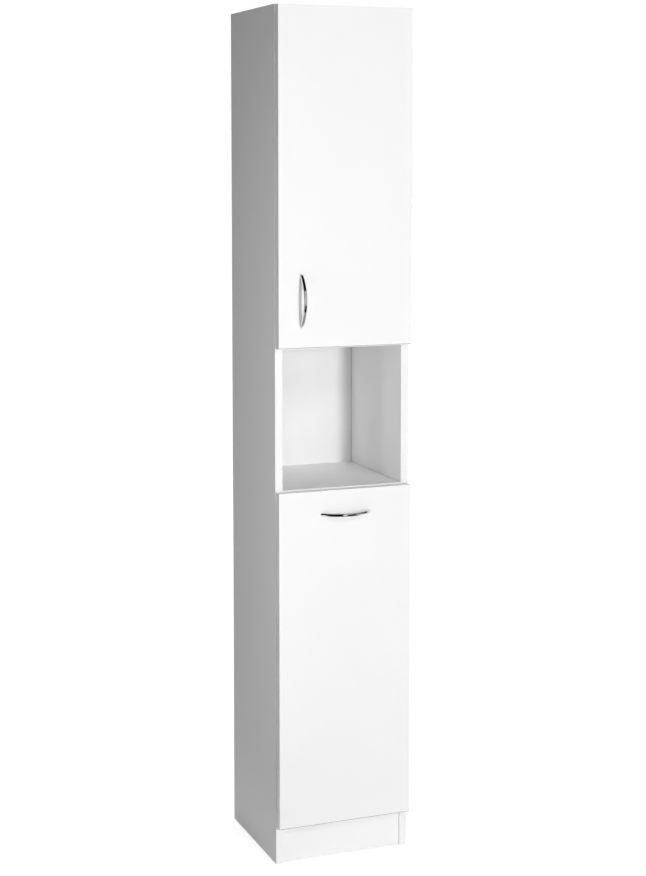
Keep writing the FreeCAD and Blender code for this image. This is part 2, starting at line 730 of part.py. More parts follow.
def nail(x, z):
    """Nail through the back panel, its head flush with the rear face, and its two holes."""
    seat = Vector(x, rear_y - nail_head_height, z)
    tip = seat - Y * nail_length
    head = rod(seat, seat + Y * nail_head_height, nail_head_radius)
    shape = rod(tip, seat, nail_radius).fuse(head).removeSplitter()
    head_hole = rod(seat, seat + Y * nail_head_height, nail_head_radius + fit)
    shank_hole = rod(tip - Y * end_play, seat, nail_radius + fit)
    return shape, head_hole.fuse(shank_hole), shank_hole


def glide(x, y):
    """Nail-on glide under a side panel, and the hole of its nail."""
    nail_top = Vector(x, y, glide_height + nail_length / 2)
    pad = rod(Vector(x, y, 0), Vector(x, y, glide_height), glide_radius)
    lower_edges = [edge for edge in pad.Edges if edge.BoundBox.ZMax < glide_height / 2]
    pad = pad.makeFillet(glide_rounding, lower_edges)
    pin = rod(Vector(x, y, glide_height / 2), nail_top, nail_radius)
    hole = rod(Vector(x, y, glide_height), nail_top + Z * end_play, nail_radius + fit)
    return pad.fuse(pin), hole


def shelf_support(y, z):
    """Right support: a peg in the side panel and a flat tongue under the shelf, its top at z."""
    centre = z - shelf_tongue_height / 2
    peg = rod(Vector(inner_x, y, centre), Vector(inner_x + shelf_peg_depth, y, centre), shelf_peg_radius)
    tongue = block((inner_x - shelf_tongue_length, inner_x),
                   (y - shelf_tongue_width / 2, y + shelf_tongue_width / 2), (z - shelf_tongue_height, z))
    return tongue.fuse(peg)


def shelf_holes_at(y, z):
    """Group of holes for one support line in the right side panel."""
    centre = z - shelf_tongue_height / 2
    holes = []
    for index in range(shelf_holes):
        level = centre + (index - (shelf_holes - 1) / 2) * shelf_hole_pitch
        holes.append(rod(Vector(inner_x, y, level), Vector(inner_x + shelf_peg_depth + end_play, y, level),
                         shelf_peg_radius + fit))
    return holes


def wall_bracket(x):
    """Angle bracket under the top panel, its long leg down the back panel."""
    low, high = x - bracket_width / 2, x + bracket_width / 2
    foot = block((low, high), (back_y - bracket_foot, back_y), (top_z - bracket_thickness, top_z))
    leg = block((low, high), (back_y - bracket_thickness, back_y), (top_z - bracket_leg, top_z))
    seat = Vector(x, back_y - bracket_foot / 2 - bracket_thickness, top_z - bracket_thickness)
    wall_hole = Vector(x, back_y - bracket_thickness, top_z - bracket_hole_drop)
    bracket = foot.fuse(leg).removeSplitter()
    corner = [edge for edge in bracket.Edges if edge.BoundBox.YLength < 0.01 and edge.BoundBox.ZLength < 0.01
              and abs(edge.BoundBox.YMin - back_y + bracket_thickness) < 0.01
              and abs(edge.BoundBox.ZMin - top_z + bracket_thickness) < 0.01]
    bracket = bracket.makeFillet(bracket_thickness / 2, corner)
    bracket = bracket.cut([rod(seat, seat + Z * bracket_thickness, screw_radius + fit),
                           rod(wall_hole, wall_hole + Y * bracket_thickness, bracket_hole_radius)])
    back_hole = rod(Vector(x, back_y, wall_hole.z), Vector(x, rear_y, wall_hole.z), back_hole_radius)
    return bracket, seat, back_hole


def bumper(x, z):
    """Soft disc on a front's rear face, just short of the carcass edge."""
    return rod(Vector(x, closed_y, z), Vector(x, front_y - bumper_play, z), bumper_radius)


# ---------------------------------------------------------------- carcass
cuts = {name: [] for name in list(fixed_panels) + ["right_side_panel", "side_panels", "plinth_board",
                                                  "back_panel", "upper_door_panel", "lower_flap_panel"]}
cams, bolts, dowels, nails, glides = [], [], [], [], []

for name, (under, face) in fixed_panels.items():
    for y in cam_lines:
        housing, bolt, panel_cuts, side_cut = cam_joint(y, under, face)
        cams += both_sides([housing])
        bolts += both_sides([bolt])
        cuts[name] += both_sides(panel_cuts)
        cuts["side_panels"].append(side_cut)
    for y in dowel_lines:
        peg, panel_cut, side_cut = dowel_joint(y, under + board / 2)
        dowels += both_sides([peg])
        cuts[name] += both_sides([panel_cut])
        cuts["side_panels"].append(side_cut)
    for index in range(nail_columns):
        x = (index - (nail_columns - 1) / 2) * 2 * (inner_x - nail_end_distance) / max(1, nail_columns - 1)
        shape, back_cut, panel_cut = nail(x, under + board / 2)
        nails.append(shape)
        cuts["back_panel"].append(back_cut)
        cuts[name].append(panel_cut)

plinth_y = (front_y + plinth_recess, front_y + plinth_recess + board)
for z in (glide_height + plinth_dowel_from_edge, bottom_z - plinth_dowel_from_edge):
    peg, panel_cut, side_cut = dowel_joint(sum(plinth_y) / 2, z)
    dowels += both_sides([peg])
    cuts["plinth_board"] += both_sides([panel_cut])
    cuts["side_panels"].append(side_cut)

nail_low, nail_high = bottom_z + nail_end_distance, height - nail_end_distance
for index in range(nail_rows):
    z = nail_low + index * (nail_high - nail_low) / (nail_rows - 1)
    shape, back_cut, side_cut = nail(side_x - board / 2, z)
    nails += both_sides([shape])
    cuts["back_panel"] += both_sides([back_cut])
    cuts["side_panels"].append(side_cut)

for y in (front_y + nail_end_distance, back_y - nail_end_distance):
    shape, hole = glide(side_x - board / 2, y)
    glides += both_sides([shape])
    cuts["side_panels"].append(hole)

# Shelves, spaced evenly in the upper compartment
shelf_step = (top_z - upper_z - shelf_count * board) / (shelf_count + 1) + board
shelf_levels = [upper_z + (index + 1) * shelf_step - board for index in range(shelf_count)]
shelf_x = inner_x - shelf_side_gap
shelf_y = (front_y + shelf_setback, back_y - shelf_side_gap)
supports = []
for level in shelf_levels:
    for y in (front_y + shelf_peg_from_edge, back_y - shelf_peg_from_edge):
        supports += both_sides([shelf_support(y, level)])
        cuts["side_panels"] += shelf_holes_at(y, level)

# Wall brackets
brackets, bracket_screws = [], []
for side in (-1, 1):
    bracket, seat, back_hole = wall_bracket(side * bracket_spacing / 2)
    brackets.append(bracket)
    bracket_screws.append(screw(seat, Z))
    cuts["top_panel"].append(screw_hole(seat, Z))
    cuts["back_panel"].append(back_hole)

# Hinges
right_face = Vector(inner_x, front_y, 0)
door_hinge_levels = (door_low + door_hinge_from_end, door_high - door_hinge_from_end)
door_hinges = hinge_set([section(right_face + Z * level, X * -1, Y) for level in door_hinge_levels])
flap_hinge_x = front_x - flap_hinge_from_edge
bottom_face = Vector(0, front_y, bottom_top_z)
flap_hinges = hinge_set([section(bottom_face + X * (side * flap_hinge_x), Z, Y) for side in (-1, 1)])
cuts["right_side_panel"] += door_hinges["panel_cuts"]
cuts["bottom_panel"] += flap_hinges["panel_cuts"]
cuts["upper_door_panel"] += door_hinges["front_cuts"]
cuts["lower_flap_panel"] += flap_hinges["front_cuts"]

# Tilt stays
studs = both_sides([stay_stud()])
cuts["side_panels"].append(stud_hole())
stay_screws = both_sides([screw(seat, Y * -1) for seat in stay_seats()])
cuts["lower_flap_panel"] += both_sides([screw_hole(seat, Y * -1) for seat in stay_seats()])

# Handles
door_handle_z = door_low + door_handle_height + handle_screw_spacing / 2
door_handle_centre = Vector(door_handle_inset - front_x, face_y, door_handle_z)
flap_handle_centre = Vector(0, face_y, flap_high - flap_handle_drop)
door_handle_screws, door_handle_holes = handle_screws(door_handle_centre, Z)
flap_handle_screws, flap_handle_holes = handle_screws(flap_handle_centre, X)
cuts["upper_door_panel"] += door_handle_holes
cuts["lower_flap_panel"] += flap_handle_holes

# Basket
clips, clip_screws, clip_holes = basket_clips()
cuts["lower_flap_panel"] += clip_holes

# ---------------------------------------------------------------- carcass pieces
core_front = front_y + band
right_side = block((inner_x, side_x), (core_front, back_y), (glide_height, height)).cut(cuts["side_panels"])
save("left_side_panel", mirrored(right_side))
save("right_side_panel", right_side.cut(cuts["right_side_panel"]))
save("side_panel_edge_bands", *both_sides([front_band((inner_x, side_x), (glide_height, height))]))

panel_bands = []
for name, (under, face) in fixed_panels.items():
    panel = block((-inner_x, inner_x), (core_front, back_y), (under, under + board))
    save(name, panel.cut(cuts[name]))
    panel_bands.append(front_band((-inner_x, inner_x), (under, under + board)))
save("fixed_panel_edge_bands", *panel_bands)

save("plinth_board", block((-inner_x, inner_x), plinth_y, (glide_height, bottom_z)).cut(cuts["plinth_board"]))
back = block((back_inset - side_x, side_x - back_inset), (back_y, rear_y), (bottom_z, height - back_inset))
save("back_panel", back.cut(cuts["back_panel"]))
save("cam_housings", *cams)
save("cam_bolts", *bolts)
save("dowels", *dowels)
save("back_panel_nails", *nails)
save("floor_glides", *glides)

for index, level in enumerate(shelf_levels):
    shelf = block((-shelf_x, shelf_x), (shelf_y[0] + band, shelf_y[1]), (level, level + board))
    save(f"shelf_{index + 1}", shelf)
save("shelf_edge_bands", *[front_band((-shelf_x, shelf_x), (level, level + board), shelf_y[0])
                           for level in shelf_levels])
save("shelf_supports", *supports)
save("wall_brackets", *brackets)
save("wall_bracket_screws", *bracket_screws)
save("stay_studs", *studs)

for front, hinges in (("door", door_hinges), ("flap", flap_hinges)):
    save(f"{front}_hinge_plates", *hinges["plates"])
    save(f"{front}_hinge_plate_screws", *hinges["plate_screws"])
    save(f"{front}_hinge_arms", *hinges["arms"])
    save(f"{front}_hinge_arm_screws", *hinges["arm_screws"])
    save(f"{front}_hinge_cups", *hinges["cups"])
    save(f"{front}_hinge_cup_screws", *hinges["cup_screws"])
    save(f"{front}_hinge_pins", *hinges["pins"])

# ---------------------------------------------------------------- upper door
save("upper_door_panel", front_core(door_low, door_high).cut(cuts["upper_door_panel"]))
save("upper_door_edge_bands", *front_bands(door_low, door_high))
save("upper_door_handle", handle(door_handle_centre, Z))
save("upper_door_handle_screws", *door_handle_screws)
bumper_x = side_x - board / 2
bumper_levels = (door_low + bumper_from_end, door_high - bumper_from_end)
save("upper_door_bumpers", *[bumper(-bumper_x, z) for z in bumper_levels])

# ---------------------------------------------------------------- lower flap
save("lower_flap_panel", front_core(flap_low, flap_high).cut(cuts["lower_flap_panel"]))
save("lower_flap_edge_bands", *front_bands(flap_low, flap_high))
save("lower_flap_handle", handle(flap_handle_centre, X))
save("lower_flap_handle_screws", *flap_handle_screws)
save("lower_flap_bumpers", *[bumper(side * bumper_x, flap_high - bumper_from_end) for side in (-1, 1)])
right_stay = tilt_stay()
save("left_tilt_stay", mirrored(right_stay))
save("right_tilt_stay", right_stay)
save("tilt_stay_screws", *stay_screws)
for name, wires in basket_mats().items():
    save(name, *wires)
save("basket_clips", *clips)
save("basket_clip_screws", *clip_screws)
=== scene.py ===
import json
import math

import bmesh
import bpy
from mathutils import Matrix, Vector


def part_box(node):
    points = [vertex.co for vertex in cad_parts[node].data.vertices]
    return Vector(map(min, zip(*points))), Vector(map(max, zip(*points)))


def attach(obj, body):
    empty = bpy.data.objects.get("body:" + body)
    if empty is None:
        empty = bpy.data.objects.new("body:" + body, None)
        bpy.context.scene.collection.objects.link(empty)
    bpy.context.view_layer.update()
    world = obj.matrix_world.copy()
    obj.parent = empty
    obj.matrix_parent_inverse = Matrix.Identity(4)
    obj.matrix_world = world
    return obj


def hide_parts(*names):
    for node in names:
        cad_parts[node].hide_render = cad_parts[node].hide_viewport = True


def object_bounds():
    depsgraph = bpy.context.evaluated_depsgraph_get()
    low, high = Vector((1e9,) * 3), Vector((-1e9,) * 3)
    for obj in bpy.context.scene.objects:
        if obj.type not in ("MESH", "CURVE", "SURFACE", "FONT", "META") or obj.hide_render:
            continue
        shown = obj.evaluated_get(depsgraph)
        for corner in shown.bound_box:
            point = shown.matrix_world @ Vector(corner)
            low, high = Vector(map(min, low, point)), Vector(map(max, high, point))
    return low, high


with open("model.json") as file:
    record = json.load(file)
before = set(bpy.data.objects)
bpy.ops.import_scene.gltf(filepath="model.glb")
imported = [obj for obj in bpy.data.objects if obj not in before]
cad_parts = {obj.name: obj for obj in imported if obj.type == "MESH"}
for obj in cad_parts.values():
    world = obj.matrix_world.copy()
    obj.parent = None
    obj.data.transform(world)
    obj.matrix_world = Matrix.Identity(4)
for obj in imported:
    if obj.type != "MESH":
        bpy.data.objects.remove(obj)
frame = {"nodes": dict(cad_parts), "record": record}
cad_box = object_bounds()
nodes = frame["nodes"]
bodies = frame["record"]["behaviour"]["bodies"]
body_of_node = {node: body for body, members in bodies.items() for node in members}
slot_of_node = {row["node"]: row["material_slot"] for row in frame["record"]["subparts"]}

MM = 0.001
X, Y, Z = Vector((1, 0, 0)), Vector((0, 1, 0)), Vector((0, 0, 1))
LEFT, DOWN = -X, -Z


# ---------------------------------------------------------------- node trees
def put(tree, kind, inputs=None, **settings):
    """Adds a node; an input takes another node's socket or a plain value."""
    node = tree.nodes.new(kind)
    for key, value in settings.items():
        setattr(node, key, value)
    for key, value in (inputs or {}).items():
        if isinstance(value, bpy.types.NodeSocket):
            tree.links.new(value, node.inputs[key])
        else:
            node.inputs[key].default_value = value
    return node


def maths(tree, operation, a, b=0.0, c=0.0, clamp=False):
    """A Math node's output."""
    node = put(tree, "ShaderNodeMath", {0: a, 1: b, 2: c}, operation=operation, use_clamp=clamp)
    return node.outputs[0]


def vector_maths(tree, operation, a, b=(0, 0, 0)):
    """A Vector Math node's output: the number, where the operation gives one."""
    node = put(tree, "ShaderNodeVectorMath", {0: a, 1: b}, operation=operation)
    return node.outputs[1 if operation in ("DOT_PRODUCT", "LENGTH") else 0]


def reach_along(tree, vector, axis):
    """How far a vector reaches along an axis."""
    return vector_maths(tree, "DOT_PRODUCT", vector, tuple(axis))


def ramp(tree, factor, stops):
    """A Color Ramp's colour, from stops of (place, colour)."""
    node = put(tree, "ShaderNodeValToRGB", {0: factor})
    elements = node.color_ramp.elements
    while len(elements) < len(stops):
        elements.new(0.5)
    for element, (place, colour) in zip(elements, stops):
        element.position = place
        element.color = (*colour, 1)
    return node.outputs["Color"]


def spread(tree, value, low, high, to_low, to_high):
    """A Map Range's result, clamped."""
    node = put(tree, "ShaderNodeMapRange", {0: value, 1: low, 2: high, 3: to_low, 4: to_high})
    return node.outputs[0]


def blended(tree, factor, a, b):
    """Colour a where factor is 0 and b where it is 1."""
    node = put(tree, "ShaderNodeMix", {"Factor": factor}, data_type="RGBA")
    for key, value in ((6, a), (7, b)):
        if isinstance(value, bpy.types.NodeSocket):
            tree.links.new(value, node.inputs[key])
        else:
            node.inputs[key].default_value = (*value, 1)
    return node.outputs[2]


def noise(tree, place, scale, detail=2.0, roughness=0.5):
    """A Noise Texture's value."""
    node = put(tree, "ShaderNodeTexNoise", {"Vector": place, "Scale": scale, "Detail": detail,
                                            "Roughness": roughness})
    return node.outputs[0]


NOISE_RANGE = 0.3, 0.7      # most of a noise lies between these values


def wandering(tree, value, low, high):
    """A number that a noise moves between low and high."""
    return spread(tree, value, *NOISE_RANGE, low, high)


def clouded(tree, value, low, high):
    """A colour that a noise moves between low and high."""
    return ramp(tree, value, list(zip(NOISE_RANGE, (low, high))))


def stretched(tree, place, factors):
    """Coordinates scaled by a factor on each axis."""
    return put(tree, "ShaderNodeMapping", {"Vector": place, "Scale": factors}).outputs[0]


def bumped(tree, height, distance, under=None):
    """A Bump's normal, over another one if that is given."""
    inputs = {"Height": height, "Distance": distance, "Strength": 1.0}
    if under is not None:
        inputs["Normal"] = under
    return put(tree, "ShaderNodeBump", inputs).outputs[0]


class Finish:
    """A material: one Principled shader, and the coordinates that its pattern reads."""

    def __init__(self, name, **shader):
        self.material = bpy.data.materials.new(name)
        self.material.use_nodes = True
        self.tree = self.material.node_tree
        self.shader = self.tree.nodes["Principled BSDF"]
        coordinates = self.tree.nodes.new("ShaderNodeTexCoord")
        self.place = coordinates.outputs["Object"]
        self.normal = coordinates.outputs["Normal"]
        self.set(**shader)

    def set(self, **values):
        """Sets or links the shader's inputs, named with _ for a space."""
        for key, value in values.items():
            socket = self.shader.inputs[key.replace("_", " ")]
            if isinstance(value, bpy.types.NodeSocket):
                self.tree.links.new(value, socket)
            else:
                socket.default_value = value


# ---------------------------------------------------------------- finishes
IOR = 1.5                                   # of melamine, lacquer, plastic and wood
MELAMINE = (0.915, 0.916, 0.916), (0.932, 0.932, 0.931)
LACQUER = (0.910, 0.911, 0.910), (0.927, 0.927, 0.925)
BAND = (0.915, 0.916, 0.917), (0.932, 0.932, 0.931)
FLECK = (0.85, 0.85, 0.845)                 # the faint specks in melamine
SEAM_SHADE = (0.15, 0.147, 0.143)           # painted shade: a closed joint's dark, widened into the shade of an inner corner, and the shadow line under a front's lower edge
JOINT_START, JOINT_FULL = 1.2 * MM, 0.4 * MM    # a joint's hairline with painted corner shade, from the side panel
JOINT_STRENGTH = 0.9
LOWER_SHADE_HALF = 0.4 * MM                        # half the width of the painted shadow line at a front's lower edge
FACING = 0.7                                # a face whose normal reaches further looks that way
SLOW_SCALE, SLOW_DEPTH = 38.0, 0.06 * MM    # the unevenness under a melamine face's orange peel
TOP_REACH = 1.0 * MM                        # a side panel is white on top, this near its height
FIBRE_ROUGH, LACQUER_ROUGH = 0.78, 0.45     # roughness of the back panel's two faces


def raw_chipboard(finish):
    """Colour and height of the chips on a board's bare edge."""
    tree = finish.tree
    swirl_reach = (4 * MM, 4 * MM, 4 * MM)
    swirl = put(tree, "ShaderNodeTexNoise", {"Vector": finish.place, "Scale": 260.0})
    warp = vector_maths(tree, "MULTIPLY", swirl.outputs["Color"], swirl_reach)
    warped = vector_maths(tree, "ADD", finish.place, warp)
    chips = put(tree, "ShaderNodeTexVoronoi", {"Vector": warped, "Scale": 420.0})
    tone = put(tree, "ShaderNodeSeparateColor", {0: chips.outputs["Color"]}).outputs[0]
    colour = ramp(tree, tone, [(0.0, (0.20, 0.115, 0.055)), (0.35, (0.42, 0.27, 0.14)),
                               (0.7, (0.56, 0.39, 0.22)), (1.0, (0.70, 0.53, 0.33))])
    fine = noise(tree, finish.place, 1900.0, detail=3.0)
    colour = blended(tree, wandering(tree, fine, 0.35, 0.0), colour, (0.16, 0.09, 0.045))
    return colour, maths(tree, "ADD", chips.outputs["Distance"], fine)


def pearl(finish, scale, depth):
    """Normal of a melamine face: a fine orange peel over a slower unevenness."""
    tree = finish.tree
    cells = put(tree, "ShaderNodeTexVoronoi", {"Vector": finish.place, "Scale": scale},
                feature="SMOOTH_F1").outputs["Distance"]
    slow = noise(tree, finish.place, SLOW_SCALE, detail=3.0)
    return bumped(tree, cells, depth, under=bumped(tree, slow, SLOW_DEPTH))


def joint_line_and_shade(finish):
    """How strongly the hairline and its painted corner shade show where a panel meets the side
    panels' inner faces.
    """
    tree = finish.tree
    sideways = maths(tree, "ABSOLUTE", reach_along(tree, finish.place, X))
    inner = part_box("niche_floor_panel")[1].x
    return spread(tree, sideways, inner - JOINT_START, inner - JOINT_FULL, 0.0, JOINT_STRENGTH)


def front_lower_edge_shade(finish):
    """1 in a painted shadow line just above a front's lower edge, at the seam where its face meets
    the band under it.
    """
    tree = finish.tree
    height = reach_along(tree, finish.place, Z)
    edge_shades = [maths(tree, "COMPARE", height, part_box(node)[0].z + LOWER_SHADE_HALF, LOWER_SHADE_HALF)
             for node in ("upper_door_panel", "lower_flap_panel")]
    return maths(tree, "MAXIMUM", *edge_shades)


def faced_board(name, axis, white_top=False):
    """Melamine on the two faces across an axis, bare chipboard on the rest of a panel."""
    finish = Finish(name, IOR=IOR)
    tree = finish.tree
    across = maths(tree, "ABSOLUTE", reach_along(tree, finish.normal, axis))
    bare = maths(tree, "LESS_THAN", across, FACING)
    if white_top:
        upward = maths(tree, "GREATER_THAN", reach_along(tree, finish.normal, Z), FACING)
        highest = maths(tree, "GREATER_THAN", reach_along(tree, finish.place, Z),
                        cad_box[1].z - TOP_REACH)
        bare = maths(tree, "SUBTRACT", bare, maths(tree, "MULTIPLY", upward, highest), clamp=True)
    chips, chip_height = raw_chipboard(finish)
    cloud = noise(tree, finish.place, 5.0, detail=4.0)
    speck = noise(tree, finish.place, 700.0)
    white = clouded(tree, cloud, *MELAMINE)
    white = blended(tree, spread(tree, speck, 0.25, 0.55, 0.05, 0.0), white, FLECK)
    # painted shade: a joint's dark hairline, widened into the shade of the inner corner
    if axis == Z:
        white = blended(tree, joint_line_and_shade(finish), white, SEAM_SHADE)
    # painted shadow: a dark line along each front's lower edge
    if axis == Y:
        white = blended(tree, front_lower_edge_shade(finish), white, SEAM_SHADE)
    sheen = maths(tree, "ADD", wandering(tree, cloud, 0.48, 0.54),
                  spread(tree, speck, 0.4, 0.6, 0.0, 0.03))
    finish.set(Base_Color=blended(tree, bare, white, chips),
               Roughness=maths(tree, "MAXIMUM", sheen, maths(tree, "MULTIPLY", bare, 0.9)))
    smooth = pearl(finish, scale=620.0, depth=0.03 * MM)
    rough = bumped(tree, chip_height, 0.5 * MM)
    normal = put(tree, "ShaderNodeMix", {"Factor": bare, 4: smooth, 5: rough}, data_type="VECTOR")
    finish.set(Normal=normal.outputs[1])
    return finish.material


def hardboard():
    """Thin back panel: white lacquer on its front face, brown fibre on the rear and the edges."""
    finish = Finish("hardboard_back", IOR=IOR)
    tree = finish.tree
    lacquer = maths(tree, "GREATER_THAN", reach_along(tree, finish.normal, -Y), FACING)
    upright = stretched(tree, finish.place, (1.0, 1.0, 0.45))
    fibres = noise(tree, upright, 900.0, detail=6.0, roughness=0.65)
    cloud = noise(tree, finish.place, 14.0, detail=4.0)
    brown = ramp(tree, fibres, [(0.28, (0.115, 0.062, 0.032)), (0.5, (0.225, 0.135, 0.075)),
                                (0.72, (0.36, 0.235, 0.14))])
    brown = blended(tree, spread(tree, cloud, 0.35, 0.65, 0.0, 0.4), brown, (0.27, 0.165, 0.093))
    white = clouded(tree, cloud, *LACQUER)
    # painted shade: a joint's dark hairline, widened into the shade of the inner corner
    white = blended(tree, joint_line_and_shade(finish), white, SEAM_SHADE)
    finish.set(Base_Color=blended(tree, lacquer, brown, white),
               Roughness=spread(tree, lacquer, 0.0, 1.0, FIBRE_ROUGH, LACQUER_ROUGH),
               Normal=bumped(tree, fibres, 0.12 * MM))
    return finish.material


def edge_band():
    """Plastic band: smoother than the faces, with faint marks in it."""
    finish = Finish("edge_band", IOR=IOR)
    tree = finish.tree
    grain = noise(tree, finish.place, 240.0, detail=3.0)
    finish.set(Base_Color=clouded(tree, grain, *BAND),
               Roughness=wandering(tree, grain, 0.27, 0.34),
               Normal=bumped(tree, grain, 0.02 * MM))
    return finish.material


def metal(name, colour, roughness, grain, depth, worn=0.06):
    """Plated or cast metal: a base colour that varies a little and a fine uneven surface."""
    finish = Finish(name, Metallic=1.0)
    tree = finish.tree
    cloud = noise(tree, finish.place, grain, detail=4.0, roughness=0.6)
    darker = tuple(value * 0.86 for value in colour)
    finish.set(Base_Color=ramp(tree, cloud, [(0.3, darker), (0.65, colour)]),
               Roughness=wandering(tree, cloud, roughness, roughness + worn),
               Normal=bumped(tree, noise(tree, finish.place, grain * 6), depth))
    return finish.material


def moulded(name, colour, roughness, grain=300.0, depth=0.04 * MM, **shader):
    """Moulded or dipped plastic."""
    finish = Finish(name, IOR=IOR, **shader)
    tree = finish.tree
    cloud = noise(tree, finish.place, grain, detail=3.0)
    darker = tuple(value * 0.96 for value in colour)
    finish.set(Base_Color=clouded(tree, cloud, darker, colour),
               Roughness=wandering(tree, cloud, roughness, roughness + 0.08),
               Normal=bumped(tree, cloud, depth))
    return finish.material


def beech():
    """Turned dowel rod: grain along X with short dark rays."""
    finish = Finish("beech_dowel", IOR=IOR)
    tree = finish.tree
    lengthwise = stretched(tree, finish.place, (60.0, 1400.0, 1400.0))
    grain = noise(tree, lengthwise, 1.0, detail=4.0)
    rays = noise(tree, stretched(tree, finish.place, (300.0, 2600.0, 2600.0)), 1.0, detail=1.0)
    wood = clouded(tree, grain, (0.47, 0.29, 0.155), (0.66, 0.46, 0.28))
    wood = blended(tree, spread(tree, rays, 0.62, 0.7, 0.0, 0.7), wood, (0.30, 0.165, 0.08))
    finish.set(Base_Color=wood, Roughness=wandering(tree, grain, 0.55, 0.7),
               Normal=bumped(tree, grain, 0.1 * MM))
    return finish.material


board_upright = faced_board("melamine_side_panels", X, white_top=True)
board_level = faced_board("melamine_level_panels", Z)
board_front = faced_board("melamine_fronts", Y)
finishes = {
    "back_board": hardboard(),
    "edge_band": edge_band(),
    "chrome": metal("polished_chrome", (0.80, 0.81, 0.82), roughness=0.045, grain=90.0,
                    depth=0.002 * MM, worn=0.03),
    "beech": beech(),
    "white_plastic": moulded("white_plastic", (0.83, 0.83, 0.82), roughness=0.34),
    "clear_rubber": moulded("clear_rubber", (0.95, 0.95, 0.94), roughness=0.12,
                            Transmission_Weight=0.9),
    "coated_wire": moulded("white_wire_coating", (0.86, 0.86, 0.855), roughness=0.22,
                           grain=180.0, depth=0.1 * MM),
    "zinc": metal("cast_zinc", (0.50, 0.50, 0.51), roughness=0.40, grain=220.0,
                  depth=0.08 * MM, worn=0.15),
    "nickel_steel": metal("nickel_plated_steel", (0.68, 0.66, 0.62), roughness=0.20,
                          grain=140.0, depth=0.01 * MM),
    "zinc_steel": metal("zinc_plated_steel", (0.62, 0.63, 0.65), roughness=0.30, grain=260.0,
                        depth=0.02 * MM, worn=0.12),
}
board_of_node = {"left_side_panel": board_upright, "right_side_panel": board_upright,
                 "upper_door_panel": board_front, "lower_flap_panel": board_front,
                 "plinth_board": board_front}
for name, node in nodes.items():
    finish = finishes.get(slot_of_node[name]) or board_of_node.get(name, board_level)
    node.data.materials.clear()
    node.data.materials.append(finish)


# ---------------------------------------------------------------- meshes
def mesh_of(name, points, faces, smooth=True):
    """A mesh from points and faces."""
    mesh = bpy.data.meshes.new(name)
    mesh.from_pydata([tuple(point) for point in points], [], faces)
    mesh.validate()
    mesh.polygons.foreach_set("use_smooth", [smooth] * len(mesh.polygons))
    return mesh


def piece(name, mesh, body, slot, *replaced, sharp=35.0):
    """A finished object on its body, with its slot's material, in place of CAD nodes.

    Edges that bend by more than sharp degrees stay crisp; 0 leaves every edge smooth.
    """
    obj = bpy.data.objects.new(name, mesh)
    bpy.context.scene.collection.objects.link(obj)
    if not mesh.materials:
        mesh.materials.append(finishes[slot])
    if sharp:
        mesh.set_sharp_from_angle(angle=math.radians(sharp))
    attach(obj, body)
    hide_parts(*replaced)


def rings_to_faces(rings, around):
    """Quads between rings of points, with a face over each end of the tube."""
    faces = []
    for ring in range(rings - 1):
        for index in range(around):
            after = (index + 1) % around
            faces.append((ring * around + index, ring * around + after,
                          (ring + 1) * around + after, (ring + 1) * around + index))
    faces.append(tuple(reversed(range(around))))
    faces.append(tuple((rings - 1) * around + index for index in range(around)))
    return faces


def turned(profile, around):
    """Points and faces of a piece turned about Z, from (radius, height) pairs, lowest first."""
    points = []
    for radius, height in profile:
        for index in range(around):
            turn = 2 * math.pi * index / around
            points.append((radius * math.cos(turn), radius * math.sin(turn), height))
    return points, rings_to_faces(len(profile), around)


def rounded_section(half_a, half_b, radius, steps=5):
    """Rounded rectangle as (a, b) pairs, counter-clockwise, with so many steps in a corner."""
    points = []
    for sign_a, sign_b, start in ((1, 1, 0), (-1, 1, 90), (-1, -1, 180), (1, -1, 270)):
        for step in range(steps + 1):
            turn = math.radians(start + 90 * step / steps)
            points.append((sign_a * (half_a - radius) + radius * math.cos(turn),
                           sign_b * (half_b - radius) + radius * math.sin(turn)))
    return points


# ---------------------------------------------------------------- bow handles
BAR = 5.5 * MM              # the bar's thickness in the middle of the bow
BAR_WIDTH = 6.0 * MM
BAR_ROUND = 1.1 * MM        # rounding of its corners
FOOT = 14.0 * MM            # length of a foot that lies on the front
BOW_STATIONS = 97           # sections along a bow


def arc(reach, top, share):
    """A point on the arc over a chord from -reach to reach that rises to top in the middle."""
    radius = (reach ** 2 + top ** 2) / (2 * top)
    turn = math.asin(reach / radius) * share
    return Vector((radius * math.sin(turn), top - radius + radius * math.cos(turn)))


def bow_handle(name, node, body, along):
    """Crescent bow between two flat feet, its section a rounded bar."""
    low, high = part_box(node)
    half = (high - low).dot(along) / 2
    rise = high.y - low.y
    centre = Vector(((low.x + high.x) / 2, high.y, (low.z + high.z) / 2))
    across = Y.cross(along)
    points = []
    for station in range(BOW_STATIONS):
        share = 2 * station / (BOW_STATIONS - 1) - 1
        outer, inner = arc(half, rise, share), arc(half - FOOT, rise - BAR, share)
        thick = outer - inner
        for a, b in rounded_section(thick.length / 2, BAR_WIDTH / 2, BAR_ROUND):
            at = (outer + inner) / 2 + thick.normalized() * a
            points.append(centre + along * at.x - Y * max(at.y, 0.0) + across * b)
    mesh = mesh_of(name, points, rings_to_faces(BOW_STATIONS, len(points) // BOW_STATIONS))
    piece(name, mesh, body, "chrome", node, sharp=40.0)


bow_handle("door_bow_handle", "upper_door_handle", "upper_door", Z)
bow_handle("flap_bow_handle", "lower_flap_handle", "lower_flap", X)

# ---------------------------------------------------------------- what the CAD nodes give
SAME_POINT = 1e-7


def merged(node):
    """A CAD node's mesh as a bmesh with its doubles merged."""
    shape = bmesh.new()
    shape.from_mesh(nodes[node].data)
    bmesh.ops.remove_doubles(shape, verts=shape.verts, dist=SAME_POINT)
    return shape


